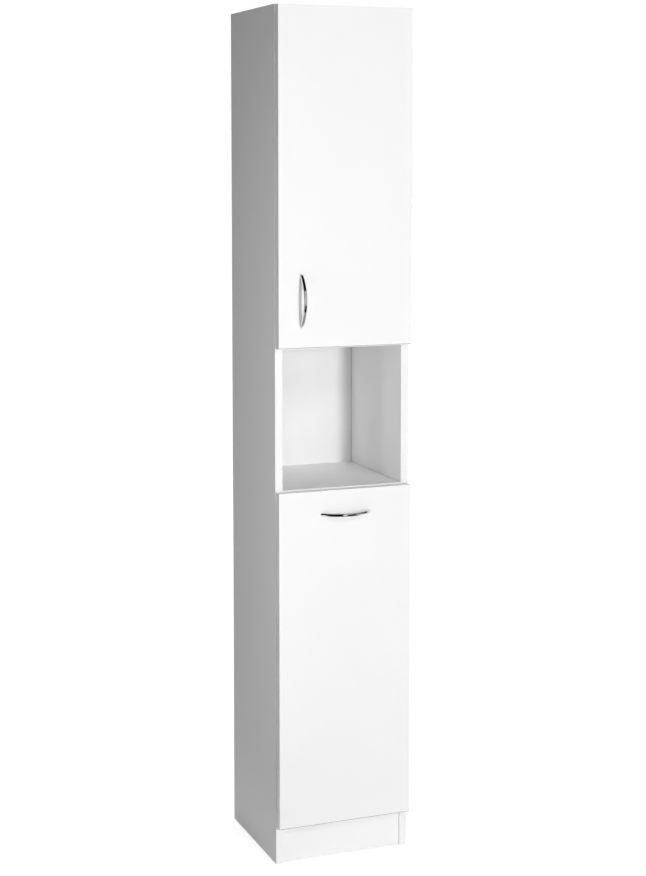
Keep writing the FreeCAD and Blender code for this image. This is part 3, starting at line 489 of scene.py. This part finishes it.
def solids(node):
    """(lowest corner, highest corner) of each separate solid of a CAD node."""
    shape = merged(node)
    shape.verts.ensure_lookup_table()
    seen, boxes = set(), []
    for first in shape.verts:
        if first.index in seen:
            continue
        seen.add(first.index)
        group, waiting = [], [first]
        while waiting:
            vert = waiting.pop()
            group.append(vert.co.copy())
            for edge in vert.link_edges:
                other = edge.other_vert(vert)
                if other.index not in seen:
                    seen.add(other.index)
                    waiting.append(other)
        boxes.append((Vector(map(min, *group)), Vector(map(max, *group))))
    shape.free()
    return boxes


# ---------------------------------------------------------------- geometry trees
def geometry_tree(name, *sockets):
    """A Geometry Nodes tree with the named inputs, and its Group Input node's sockets."""
    tree = bpy.data.node_groups.new(name, "GeometryNodeTree")
    tree.interface.new_socket("Geometry", in_out="INPUT", socket_type="NodeSocketGeometry")
    for label, kind in sockets:
        tree.interface.new_socket(label, in_out="INPUT", socket_type="NodeSocket" + kind)
    tree.interface.new_socket("Geometry", in_out="OUTPUT", socket_type="NodeSocketGeometry")
    return tree, tree.nodes.new("NodeGroupInput").outputs


def close_tree(tree, geometry, finish):
    """Ends a tree: instances made real, the finish set."""
    real = put(tree, "GeometryNodeRealizeInstances", {0: geometry})
    done = put(tree, "GeometryNodeSetMaterial", {"Geometry": real.outputs[0], "Material": finish})
    put(tree, "NodeGroupOutput", {0: done.outputs[0]})


def grown(name, tree, start, **sizes):
    """Plain mesh that a tree makes from a start mesh."""
    holder = bpy.data.objects.new(name, start)
    bpy.context.scene.collection.objects.link(holder)
    modifier = holder.modifiers.new("grow", "NODES")
    modifier.node_group = tree
    for socket in tree.interface.items_tree:
        if socket.in_out == "INPUT" and socket.name in sizes:
            modifier[socket.identifier] = sizes[socket.name]
    graph = bpy.context.evaluated_depsgraph_get()
    mesh = bpy.data.meshes.new_from_object(holder.evaluated_get(graph), depsgraph=graph)
    mesh.name = name
    bpy.data.objects.remove(holder)
    return mesh


# A shape on every seat: its +Z along the seat's direction, turned about it by up to Spin
seat_tree, given = geometry_tree("set_on_seats", ("Shape", "Object"), ("Spin", "Float"),
                                 ("Finish", "Material"))
direction = put(seat_tree, "GeometryNodeInputNamedAttribute", {"Name": "direction"},
                data_type="FLOAT_VECTOR").outputs[0]
aligned = put(seat_tree, "FunctionNodeAlignRotationToVector", {"Vector": direction},
              axis="Z").outputs[0]
spin_angle = put(seat_tree, "FunctionNodeRandomValue", {3: given["Spin"], "Seed": 7},
                 data_type="FLOAT").outputs[1]
spun = put(seat_tree, "FunctionNodeAxisAngleToRotation", {"Axis": (0, 0, 1),
                                                          "Angle": spin_angle}).outputs[0]
turned_seat = put(seat_tree, "FunctionNodeRotateRotation", {0: aligned, 1: spun},
                  rotation_space="LOCAL").outputs[0]
shape_info = put(seat_tree, "GeometryNodeObjectInfo", {"Object": given["Shape"]})
set_down = put(seat_tree, "GeometryNodeInstanceOnPoints", {
    "Points": given["Geometry"], "Instance": shape_info.outputs["Geometry"],
    "Rotation": turned_seat}).outputs[0]
close_tree(seat_tree, set_down, given["Finish"])


def on_seats(name, shape, seats, node, spin=math.tau):
    """One piece, in place of a CAD node, with a shape on every (place, direction) seat."""
    body, slot = body_of_node[node], slot_of_node[node]
    start = bpy.data.meshes.new(name + "_seats")
    start.from_pydata([tuple(place) for place, _ in seats], [], [])
    pointing = start.attributes.new("direction", "FLOAT_VECTOR", "POINT")
    pointing.data.foreach_set("vector", [value for _, toward in seats for value in toward])
    pattern = bpy.data.objects.new(name + "_shape", shape)
    mesh = grown(name, seat_tree, start, Shape=pattern, Spin=spin, Finish=finishes[slot])
    bpy.data.objects.remove(pattern)
    piece(name, mesh, body, slot, node)


# ---------------------------------------------------------------- screws, nails, cams
def cross(x, y, reach, width, end_slope=0.35):
    """How far inside a cross-shaped recess a point lies: 0 outside, 1 in the middle of an arm.

    Its floor climbs over the last end_slope of each arm's reach.
    """
    radius = math.hypot(x, y)
    if radius > reach:
        return 0.0
    arm = min(abs(x), abs(y))
    inside = max(0.0, 1.0 - max(0.0, arm - width / 4) / (width / 2))
    return inside * min(1.0, (reach - radius) / (end_slope * reach))


def recessed(outline, crown, reach, width, depth, around=40, rings=11):
    """Turned piece, lowest first, whose domed top has a cross recess pressed into it."""
    edge_radius, edge_height = outline[-1]
    profile = list(outline)
    for ring in range(1, rings + 1):
        share = ring / (rings + 0.5)
        profile.append((edge_radius * (1 - share), edge_height + crown * (1 - (1 - share) ** 2)))
    points, faces = turned(profile, around)
    first = len(outline) * around
    for index in range(first, len(points)):
        x, y, z = points[index]
        points[index] = (x, y, z - depth * cross(x, y, reach, width))
    return points, faces


def threaded(radius, core, length, pitch):
    """Profile of a shank with ridges, from its tapered point up to the seat at 0."""
    taper, tip = 2.2 * core, 0.15 * core
    height = taper - length
    profile = [(tip, -length), (core, height)]
    while height + pitch < 0.0:
        profile += [(core, height + 0.3 * pitch), (radius, height + 0.5 * pitch),
                    (core, height + 0.7 * pitch)]
        height += pitch
    return profile + [(core, 0.0)]


def screw(name, shank, head, crown, reach, width, depth):
    """Screw with its seat at the origin, its head up and a cross recess; sizes in mm."""
    outline = [(radius * MM, height * MM) for radius, height in shank + head]
    return mesh_of(name, *recessed(outline, crown * MM, reach * MM, width * MM, depth * MM))


def nail():
    """Back panel nail, its seat at the origin and its flat head up."""
    profile = [(0.1, -18.0), (0.7, -16.4), (0.7, -0.5), (1.1, 0.0), (1.65, 0.1), (1.8, 0.3),
               (1.78, 0.62), (1.55, 0.76), (0.9, 0.72), (0.25, 0.74)]
    return mesh_of("nail", *turned([(radius * MM, height * MM) for radius, height in profile], 14))


def cam_housing(height, radius):
    """Cam of a knock-down joint, its drive face up at the origin: a rim, a slot, a pointer."""
    groove, edge, rim = 0.45 * MM, 0.3 * MM, 1.0 * MM
    crest, dish = -0.05 * MM, -0.35 * MM        # heights of the rim and of the face inside it
    face = radius - rim - edge
    profile = [(radius * 0.6, -height), (radius - edge, -height), (radius, -height + 0.4 * MM)]
    for share, inset in ((0.35, 0.0), (0.4, groove), (0.62, groove), (0.67, 0.0)):
        profile.append((radius - inset, -height * (1 - share)))
    profile += [(radius, -0.9 * MM), (radius, dish), (radius - edge, crest),
                (radius - rim, crest), (face, dish)]
    points, faces = recessed(profile, crown=0.0, reach=4.6 * MM, width=2.4 * MM,
                             depth=1.6 * MM, around=48, rings=12)
    pointer_start, pointer_rise, pointer_tip = 4.9 * MM, 0.25 * MM, 0.05 * MM
    pointed = []
    for x, y, z in points:
        beside = (face - x) * 0.6 + pointer_tip
        raised = x > pointer_start and abs(y) < beside and z > -0.6 * MM
        pointed.append((x, y, z + (pointer_rise if raised else 0.0)))
    return mesh_of("cam_housing", pointed, faces)


def middle(box):
    """Middle of a (lowest corner, highest corner) pair."""
    return (box[0] + box[1]) / 2


def fasten(name, shape, node, toward, head):
    """A screw or nail for each solid of a CAD node, its head that high and along toward."""
    seats = []
    for box in solids(node):
        half = (box[1] - box[0]) / 2
        reach = sum(abs(a * b) for a, b in zip(half, toward))
        seats.append((middle(box) + toward * (reach - head), toward))
    on_seats(name, shape, seats, node)


chipboard_screw = screw("chipboard_screw", threaded(1.7, 1.15, 13.0, 1.6),
                        [(2.9, 0.0), (3.25, 0.15), (3.3, 0.45), (3.0, 0.85)],
                        crown=0.5, reach=1.9, width=0.95, depth=0.8)
machine_screw = screw("machine_screw", [(1.6, -20.4), (2.0, -20.0), (2.0, 0.0)],
                      [(3.7, 0.0), (4.0, 0.25), (3.95, 0.8), (3.5, 1.35)],
                      crown=0.4, reach=2.1, width=1.05, depth=0.9)
arm_screw = screw("arm_screw", threaded(2.0, 1.6, 8.6, 0.8),
                  [(2.8, 0.0), (3.1, 0.25), (3.05, 0.8), (2.7, 1.1)],
                  crown=0.35, reach=1.9, width=0.95, depth=0.85)
SCREW_HEAD, HANDLE_SCREW_HEAD, NAIL_HEAD = 1.4 * MM, 1.8 * MM, 0.8 * MM
for name, shape, node, toward, head in (
        ("door_plate_screw_set", chipboard_screw, "door_hinge_plate_screws", LEFT, SCREW_HEAD),
        ("flap_plate_screw_set", chipboard_screw, "flap_hinge_plate_screws", Z, SCREW_HEAD),
        ("door_cup_screw_set", chipboard_screw, "door_hinge_cup_screws", Y, SCREW_HEAD),
        ("flap_cup_screw_set", chipboard_screw, "flap_hinge_cup_screws", Y, SCREW_HEAD),
        ("stay_screw_set", chipboard_screw, "tilt_stay_screws", Y, SCREW_HEAD),
        ("clip_screw_set", chipboard_screw, "basket_clip_screws", Y, SCREW_HEAD),
        ("bracket_screw_set", chipboard_screw, "wall_bracket_screws", DOWN, SCREW_HEAD),
        ("door_handle_screw_set", machine_screw, "upper_door_handle_screws", Y,
         HANDLE_SCREW_HEAD),
        ("flap_handle_screw_set", machine_screw, "lower_flap_handle_screws", Y,
         HANDLE_SCREW_HEAD),
        ("door_arm_screw_set", arm_screw, "door_hinge_arm_screws", LEFT, SCREW_HEAD),
        ("flap_arm_screw_set", arm_screw, "flap_hinge_arm_screws", Z, SCREW_HEAD),
        ("back_panel_nail_set", nail(), "back_panel_nails", Y, NAIL_HEAD)):
    fasten(name, shape, node, toward, head)

CAM_SPIN = 0.6              # tightened cams stop at angles up to this, in radians
cam_boxes = solids("cam_housings")
cam_size = cam_boxes[0][1] - cam_boxes[0][0]
niche_ceiling_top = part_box("niche_ceiling_panel")[1].z
cam_seats = []
for box in cam_boxes:
    # The niche ceiling's cams are let in from above, all others from below
    toward = Z if abs(box[1].z - niche_ceiling_top) < 0.1 * MM else DOWN
    cam_seats.append((middle(box) + toward * (cam_size.z / 2), toward))
on_seats("cam_set", cam_housing(cam_size.z, cam_size.x / 2), cam_seats, "cam_housings",
         spin=CAM_SPIN)

# ---------------------------------------------------------------- wire basket
RIM, WIRE = 2.5 * MM, 1.25 * MM     # radii of the frame wire and of the mesh wires
PITCH = 33.0 * MM                   # from one mesh wire to the next
FRAME_CORNER = 12.0 * MM            # the frame wire's bend
SWAY, SWAY_SCALE = 0.4 * MM, 9.0    # how far the mesh wires stray, and how quickly
WIRE_STATIONS = 24                  # points along a mesh wire
WIRE_SIDES, FRAME_SIDES = 10, 16    # sides of a mesh wire and of the frame wire
BEAD = 1.12                         # a weld bead's radius, in wire radii
WALL_MARGIN = 2 * RIM + 5 * WIRE    # a wall's level wires stop this far from its ends

# A mat drawn on X and Y from its corner, its frame wire at Z 0 and its mesh wires above
mat_tree, given = geometry_tree(
    "wire_mat", ("Length", "Float"), ("Width", "Float"), ("Rim", "Float"), ("Wire", "Float"),
    ("Corner", "Float"), ("Margin", "Float"), ("Uprights", "Int"), ("Levels", "Int"),
    ("Finish", "Material"))


def mat_maths(operation, a, b):
    """A Math node's output in the mat's tree."""
    return maths(mat_tree, operation, a, b)


def point(x, y, z):
    """A vector from three numbers in the mat's tree."""
    return put(mat_tree, "ShaderNodeCombineXYZ", {0: x, 1: y, 2: z}).outputs[0]


def swept(curve, radius, around):
    """Closed round wire along a curve."""
    ring = put(mat_tree, "GeometryNodeCurvePrimitiveCircle", {"Resolution": around,
                                                              "Radius": radius})
    return put(mat_tree, "GeometryNodeCurveToMesh", {
        "Curve": curve, "Profile Curve": ring.outputs[0], "Fill Caps": True}).outputs[0]


def wire_row(start, end, step, count):
    """Wires side by side that sway a little, each with a weld bead at its two ends."""
    line = put(mat_tree, "GeometryNodeCurvePrimitiveLine", {"Start": start, "End": end})
    fine = put(mat_tree, "GeometryNodeResampleCurve", {"Curve": line.outputs[0],
                                                       "Count": WIRE_STATIONS})
    places = put(mat_tree, "GeometryNodeMeshLine", {"Count": count, "Start Location": step,
                                                    "Offset": step})
    rows = put(mat_tree, "GeometryNodeInstanceOnPoints", {"Points": places.outputs[0],
                                                          "Instance": fine.outputs[0]})
    real = put(mat_tree, "GeometryNodeRealizeInstances", {0: rows.outputs[0]})
    here = mat_tree.nodes.new("GeometryNodeInputPosition").outputs[0]
    wave = put(mat_tree, "ShaderNodeTexNoise", {"Vector": here, "Scale": SWAY_SCALE,
                                                "Detail": 1.0})
    drift = vector_maths(mat_tree, "SUBTRACT", wave.outputs["Color"], (0.5, 0.5, 0.5))
    drift = put(mat_tree, "ShaderNodeVectorMath", {0: drift, "Scale": SWAY}, operation="SCALE")
    bent = put(mat_tree, "GeometryNodeSetPosition", {"Geometry": real.outputs[0],
                                                     "Offset": drift.outputs[0]}).outputs[0]
    bead = put(mat_tree, "GeometryNodeMeshUVSphere", {
        "Segments": WIRE_SIDES, "Rings": 6,
        "Radius": mat_maths("MULTIPLY", given["Wire"], BEAD)})
    ends = put(mat_tree, "GeometryNodeCurveToPoints", {"Curve": bent, "Count": 2}, mode="COUNT")
    beads = put(mat_tree, "GeometryNodeInstanceOnPoints", {"Points": ends.outputs[0],
                                                           "Instance": bead.outputs[0]})
    return [swept(bent, given["Wire"], WIRE_SIDES), beads.outputs[0]]


two_rims = mat_maths("MULTIPLY", given["Rim"], 2.0)
two_wires = mat_maths("MULTIPLY", given["Wire"], 2.0)
rectangle = put(mat_tree, "GeometryNodeCurvePrimitiveQuadrilateral", {
    0: mat_maths("SUBTRACT", given["Length"], two_rims),
    1: mat_maths("SUBTRACT", given["Width"], two_rims)})
from_corner = point(mat_maths("MULTIPLY", given["Length"], 0.5),
                    mat_maths("MULTIPLY", given["Width"], 0.5), given["Rim"])
rectangle = put(mat_tree, "GeometryNodeTransform", {"Geometry": rectangle.outputs[0],
                                                    "Translation": from_corner})
mat_frame = put(mat_tree, "GeometryNodeFilletCurve", {
    "Curve": rectangle.outputs[0], "Radius": given["Corner"], "Count": 8}, mode="POLY").outputs[0]
first_height = mat_maths("ADD", two_rims, given["Wire"])
second_height = mat_maths("ADD", first_height, two_wires)
upright_step = mat_maths("DIVIDE", given["Length"], mat_maths("ADD", given["Uprights"], 1.0))
level_step = mat_maths("DIVIDE", given["Width"], mat_maths("ADD", given["Levels"], 1.0))
uprights = wire_row(point(0.0, given["Rim"], first_height),
                    point(0.0, mat_maths("SUBTRACT", given["Width"], given["Rim"]), first_height),
                    point(upright_step, 0.0, 0.0), given["Uprights"])
level_end = mat_maths("SUBTRACT", given["Length"], given["Margin"])
levels = wire_row(point(given["Margin"], 0.0, second_height),
                  point(level_end, 0.0, second_height),
                  point(0.0, level_step, 0.0), given["Levels"])
joined = mat_tree.nodes.new("GeometryNodeJoinGeometry")
for part in [swept(mat_frame, given["Rim"], FRAME_SIDES)] + uprights + levels:
    mat_tree.links.new(part, joined.inputs[0])
smoothed = put(mat_tree, "GeometryNodeSetShadeSmooth", {0: joined.outputs[0]}).outputs[0]
close_tree(mat_tree, smoothed, given["Finish"])


def basket_mat(name, node, along, up, inward, margin):
    """One wall or the floor of the basket, in its CAD node's box, its mesh wires on the inside."""
    low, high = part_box(node)
    size = high - low
    length, breadth = abs(size.dot(along)), abs(size.dot(up))
    corner = Vector([low[axis] if inward[axis] >= 0 else high[axis] for axis in range(3)])
    mesh = grown(name, mat_tree, bpy.data.meshes.new(name), Length=length, Width=breadth, Rim=RIM,
                 Wire=WIRE, Corner=FRAME_CORNER, Margin=margin,
                 Uprights=max(1, round(length / PITCH) - 1),
                 Levels=max(1, round(breadth / PITCH) - 1), Finish=finishes["coated_wire"])
    turn = Matrix((along, up, inward)).transposed().to_4x4()
    mesh.transform(Matrix.Translation(corner) @ turn)
    if along.cross(up).dot(inward) < 0:
        mesh.flip_normals()
    piece(name, mesh, "lower_flap", "coated_wire", node, sharp=0)


basket_mat("basket_front_wall", "basket_front_mat", X, Z, Y, WALL_MARGIN)
basket_mat("basket_back_wall", "basket_back_mat", X, Z, -Y, WALL_MARGIN)
basket_mat("basket_left_wall", "basket_left_mat", Y, Z, X, WALL_MARGIN)
basket_mat("basket_right_wall", "basket_right_mat", Y, Z, -X, WALL_MARGIN)
basket_mat("basket_bottom", "basket_floor_mat", X, Y, Z, RIM)

# ---------------------------------------------------------------- pieces with softened edges
FLAT_ANGLE, EDGE_ANGLE = math.radians(0.5), math.radians(32.0)


def softened(name, node, width, segments=2):
    """A CAD node's shape with its sharp edges rounded."""
    shape = merged(node)
    bmesh.ops.dissolve_limit(shape, angle_limit=FLAT_ANGLE, verts=shape.verts, edges=shape.edges)
    sharp = [edge for edge in shape.edges
             if edge.is_manifold and edge.calc_face_angle() > EDGE_ANGLE]
    bmesh.ops.bevel(shape, geom=sharp, offset=width, segments=segments, profile=0.5,
                    affect="EDGES", clamp_overlap=True)
    bmesh.ops.recalc_face_normals(shape, faces=shape.faces)
    mesh = bpy.data.meshes.new(name)
    shape.to_mesh(mesh)
    shape.free()
    mesh.polygons.foreach_set("use_smooth", [True] * len(mesh.polygons))
    piece(name, mesh, body_of_node[node], slot_of_node[node], node, sharp=50.0)


for name, node, width in (
        ("door_cup_pair", "door_hinge_cups", 0.25 * MM),
        ("flap_cup_pair", "flap_hinge_cups", 0.25 * MM),
        ("door_arm_pair", "door_hinge_arms", 0.4 * MM),
        ("flap_arm_pair", "flap_hinge_arms", 0.4 * MM),
        ("door_plate_pair", "door_hinge_plates", 0.5 * MM),
        ("flap_plate_pair", "flap_hinge_plates", 0.5 * MM),
        ("left_slotted_stay", "left_tilt_stay", 0.4 * MM),
        ("right_slotted_stay", "right_tilt_stay", 0.4 * MM),
        ("stay_stud_pair", "stay_studs", 0.5 * MM),
        ("wall_bracket_pair", "wall_brackets", 0.4 * MM),
        ("basket_clip_set", "basket_clips", 0.5 * MM),
        ("shelf_support_set", "shelf_supports", 0.5 * MM)):
    softened(name, node, width)
for name, node in (("door_bumper_set", "upper_door_bumpers"),
                   ("flap_bumper_set", "lower_flap_bumpers")):
    softened(name, node, 0.9 * MM, segments=4)

# ---------------------------------------------------------------- camera
PHOTO_HEIGHT = 876                      # pixels, the longer side of the picture
FOCAL_PIXELS = 1747.5
SHIFT_PIXELS = -3.2, -130.0
YAW, PITCH_DOWN = math.radians(21.45), math.radians(4.8)
CAMERA_PLACE = -1.3604, -3.4872, 1.4817

forward = Vector((math.sin(YAW) * math.cos(PITCH_DOWN), math.cos(YAW) * math.cos(PITCH_DOWN),
                  -math.sin(PITCH_DOWN)))
right = forward.cross(Z).normalized()
lens = bpy.data.cameras.new("camera")
lens.sensor_width = 36.0
lens.lens = FOCAL_PIXELS / PHOTO_HEIGHT * lens.sensor_width
lens.shift_x, lens.shift_y = (shift / PHOTO_HEIGHT for shift in SHIFT_PIXELS)
camera = bpy.data.objects.new("camera", lens)
camera.matrix_world = Matrix.Translation(CAMERA_PLACE) @ Matrix(
    (right, right.cross(forward), -forward)).transposed().to_4x4()
bpy.context.scene.collection.objects.link(camera)
bpy.context.scene.camera = camera

# ---------------------------------------------------------------- studio
AMBIENT = 0.10                          # the world's light on the cabinet; it is seen as white


def seen_rays(tree):
    """1 for rays that see the studio's white: from the camera, in gloss and through clear parts."""
    path = tree.nodes.new("ShaderNodeLightPath")
    seen = maths(tree, "MAXIMUM", path.outputs["Is Camera Ray"], path.outputs["Is Glossy Ray"])
    return maths(tree, "MAXIMUM", seen, path.outputs["Is Transmission Ray"])


world = bpy.data.worlds.new("studio")
bpy.context.scene.world = world
world.use_nodes = True
tree = world.node_tree
background = tree.nodes["Background"]
background.inputs["Color"].default_value = (1, 1, 1, 1)
tree.links.new(spread(tree, seen_rays(tree), 0.0, 1.0, AMBIENT, 1.0),
               background.inputs["Strength"])


def light(name, size, place, toward, watts):
    """Soft box of (width, height) that lights the cabinet; camera and gloss don't see it."""
    lamp = bpy.data.lights.new(name, "AREA")
    lamp.shape, lamp.size, lamp.size_y, lamp.energy = "RECTANGLE", size[0], size[1], watts
    obj = bpy.data.objects.new(name, lamp)
    facing = (Vector(toward) - Vector(place)).to_track_quat("-Z", "Y")
    obj.matrix_world = Matrix.Translation(place) @ facing.to_matrix().to_4x4()
    obj.visible_camera = obj.visible_glossy = False
    bpy.context.scene.collection.objects.link(obj)


light("key_strip", (0.48, 1.1), (0.57, -5.1, 1.30), (0.0, -0.12, 1.30), 112)
light("high_front_box", (2.4, 1.0), (0.3, -3.6, 3.0), (0.0, -0.12, 1.0), 30)
light("low_front_box", (0.7, 0.35), (0.25, -2.2, 0.22), (0.0, -0.13, 0.45), 2.2)
light("left_strip", (0.08, 1.3), (-0.63, -0.34, 0.95), (-0.15, -0.12, 0.95), 0.62)
light("left_box", (0.3, 1.2), (-1.77, -0.65, 1.15), (-0.15, -0.12, 1.15), 3.4)
light("left_front_box", (0.5, 2.0), (-1.1, -2.4, 1.25), (0.0, -0.12, 1.1), 5.5)
light("back_box", (1.2, 1.6), (1.7, 3.6, 1.5), (0.0, 0.1, 0.9), 45)
light("right_box", (0.5, 1.4), (2.4, 0.9, 1.1), (0.15, 0.05, 0.9), 14)
light("top_box", (0.35, 0.35), (0.2, 0.2, 2.65), (0.0, 0.02, 1.8), 4.5)


def reflection_card(name, low, high, grey):
    """Glowing flat panel that only gloss and metal see: a painted reflection of a studio's dark
    floor, wall or ceiling, which lights nothing.
    """
    low, high = Vector(low), Vector(high)
    span = high - low
    flat = min(range(3), key=lambda axis: abs(span[axis]))
    u, v = [axis for axis in range(3) if axis != flat]
    corners = []
    for take_u, take_v in ((0, 0), (1, 0), (1, 1), (0, 1)):
        corner = low.copy()
        corner[u] += span[u] * take_u
        corner[v] += span[v] * take_v
        corners.append(corner)
    finish = bpy.data.materials.new(name)
    finish.use_nodes = True
    finish.node_tree.nodes.clear()
    glow = put(finish.node_tree, "ShaderNodeEmission", {"Color": (grey, grey, grey, 1)})
    put(finish.node_tree, "ShaderNodeOutputMaterial", {"Surface": glow.outputs[0]})
    mesh = mesh_of(name, corners, [(0, 1, 2, 3)], smooth=False)
    mesh.materials.append(finish)
    obj = bpy.data.objects.new(name, mesh)
    obj.visible_camera = obj.visible_diffuse = obj.visible_shadow = False
    obj.visible_transmission = obj.visible_volume_scatter = False
    bpy.context.scene.collection.objects.link(obj)


LYING = 0.004                           # height of a card that lies on the floor
WALL_TOP = 2.9
# Painted reflections: glowing panels that only gloss and chrome see, as dark flags, grey screens,
# pale strips and a pale path on the floor
reflection_card("dark_floor", (-7.0, -7.0, LYING), (7.0, -1.6, LYING), 0.01)
reflection_card("grey_floor", (-1.6, -1.6, LYING), (1.6, -0.18, LYING), 0.38)
reflection_card("dark_ceiling", (-4.0, -6.0, WALL_TOP), (4.0, 2.0, WALL_TOP), 0.01)
reflection_card("dark_left_wall", (-3.0, -6.0, 0.0), (-3.0, 1.0, WALL_TOP), 0.01)
reflection_card("dark_front_wall", (-3.0, -6.0, 0.0), (0.15, -6.0, WALL_TOP), 0.01)
reflection_card("grey_screen", (0.40, -2.2, 0.55), (1.6, -2.2, 2.46), 0.60)
reflection_card("pale_strip", (0.20, -5.0, 0.1), (0.82, -5.0, 2.85), 0.7)
reflection_card("pale_path", (-0.16, -4.9, 0.008), (0.64, -2.6, 0.008), 1.0)
reflection_card("low_grey_screen", (1.6, -1.9, 0.0), (3.0, -1.9, 0.6), 0.42)
reflection_card("dim_right_wall", (3.0, -6.0, 0.0), (3.0, 1.0, WALL_TOP), 0.12)
reflection_card("rear_left_screen", (-3.0, 2.4, 0.0), (-0.3, 2.4, WALL_TOP), 0.25)
reflection_card("rear_left_wall", (-3.0, 1.0, 0.0), (-3.0, 2.4, WALL_TOP), 0.25)
reflection_card("rear_left_floor", (-3.0, -0.18, LYING), (-0.3, 2.4, LYING), 0.3)

FLOOR_HALF = 60.0                       # half the floor's width
FLOOR_WHITE = (0.92, 0.92, 0.92)        # what light falls on
FLOOR_GREYS = (0.54, 0.54, 0.54), (0.56, 0.56, 0.56)    # what the camera sees under the glow
GLOW_NEAR, GLOW_FAR = 0.6, 3.0          # the seen glow grows to full white between these
GLOW_LEAST, GLOW_FULL = 0.80, 1.0
floor_finish = bpy.data.materials.new("studio_floor")
floor_finish.use_nodes = True
tree = floor_finish.node_tree
tree.nodes.clear()
place = tree.nodes.new("ShaderNodeTexCoord").outputs["Object"]
seen = seen_rays(tree)
paper = put(tree, "ShaderNodeBsdfDiffuse", {"Color": blended(
    tree, seen, FLOOR_WHITE, clouded(tree, noise(tree, place, 3.0), *FLOOR_GREYS))})
away = vector_maths(tree, "LENGTH", place)
glow = put(tree, "ShaderNodeEmission", {"Strength": maths(tree, "MULTIPLY", seen, spread(
    tree, away, GLOW_NEAR, GLOW_FAR, GLOW_LEAST, GLOW_FULL))})
both = put(tree, "ShaderNodeAddShader", {0: paper.outputs[0], 1: glow.outputs[0]})
put(tree, "ShaderNodeOutputMaterial", {"Surface": both.outputs[0]})
floor_corners = [(x * FLOOR_HALF, y * FLOOR_HALF, 0)
                 for x, y in ((-1, -1), (1, -1), (1, 1), (-1, 1))]
floor_mesh = mesh_of("studio_floor", floor_corners, [(0, 1, 2, 3)], smooth=False)
floor_mesh.materials.append(floor_finish)
floor = bpy.data.objects.new("studio_floor", floor_mesh)
bpy.context.scene.collection.objects.link(floor)

bpy.context.scene.view_settings.view_transform = "Standard"
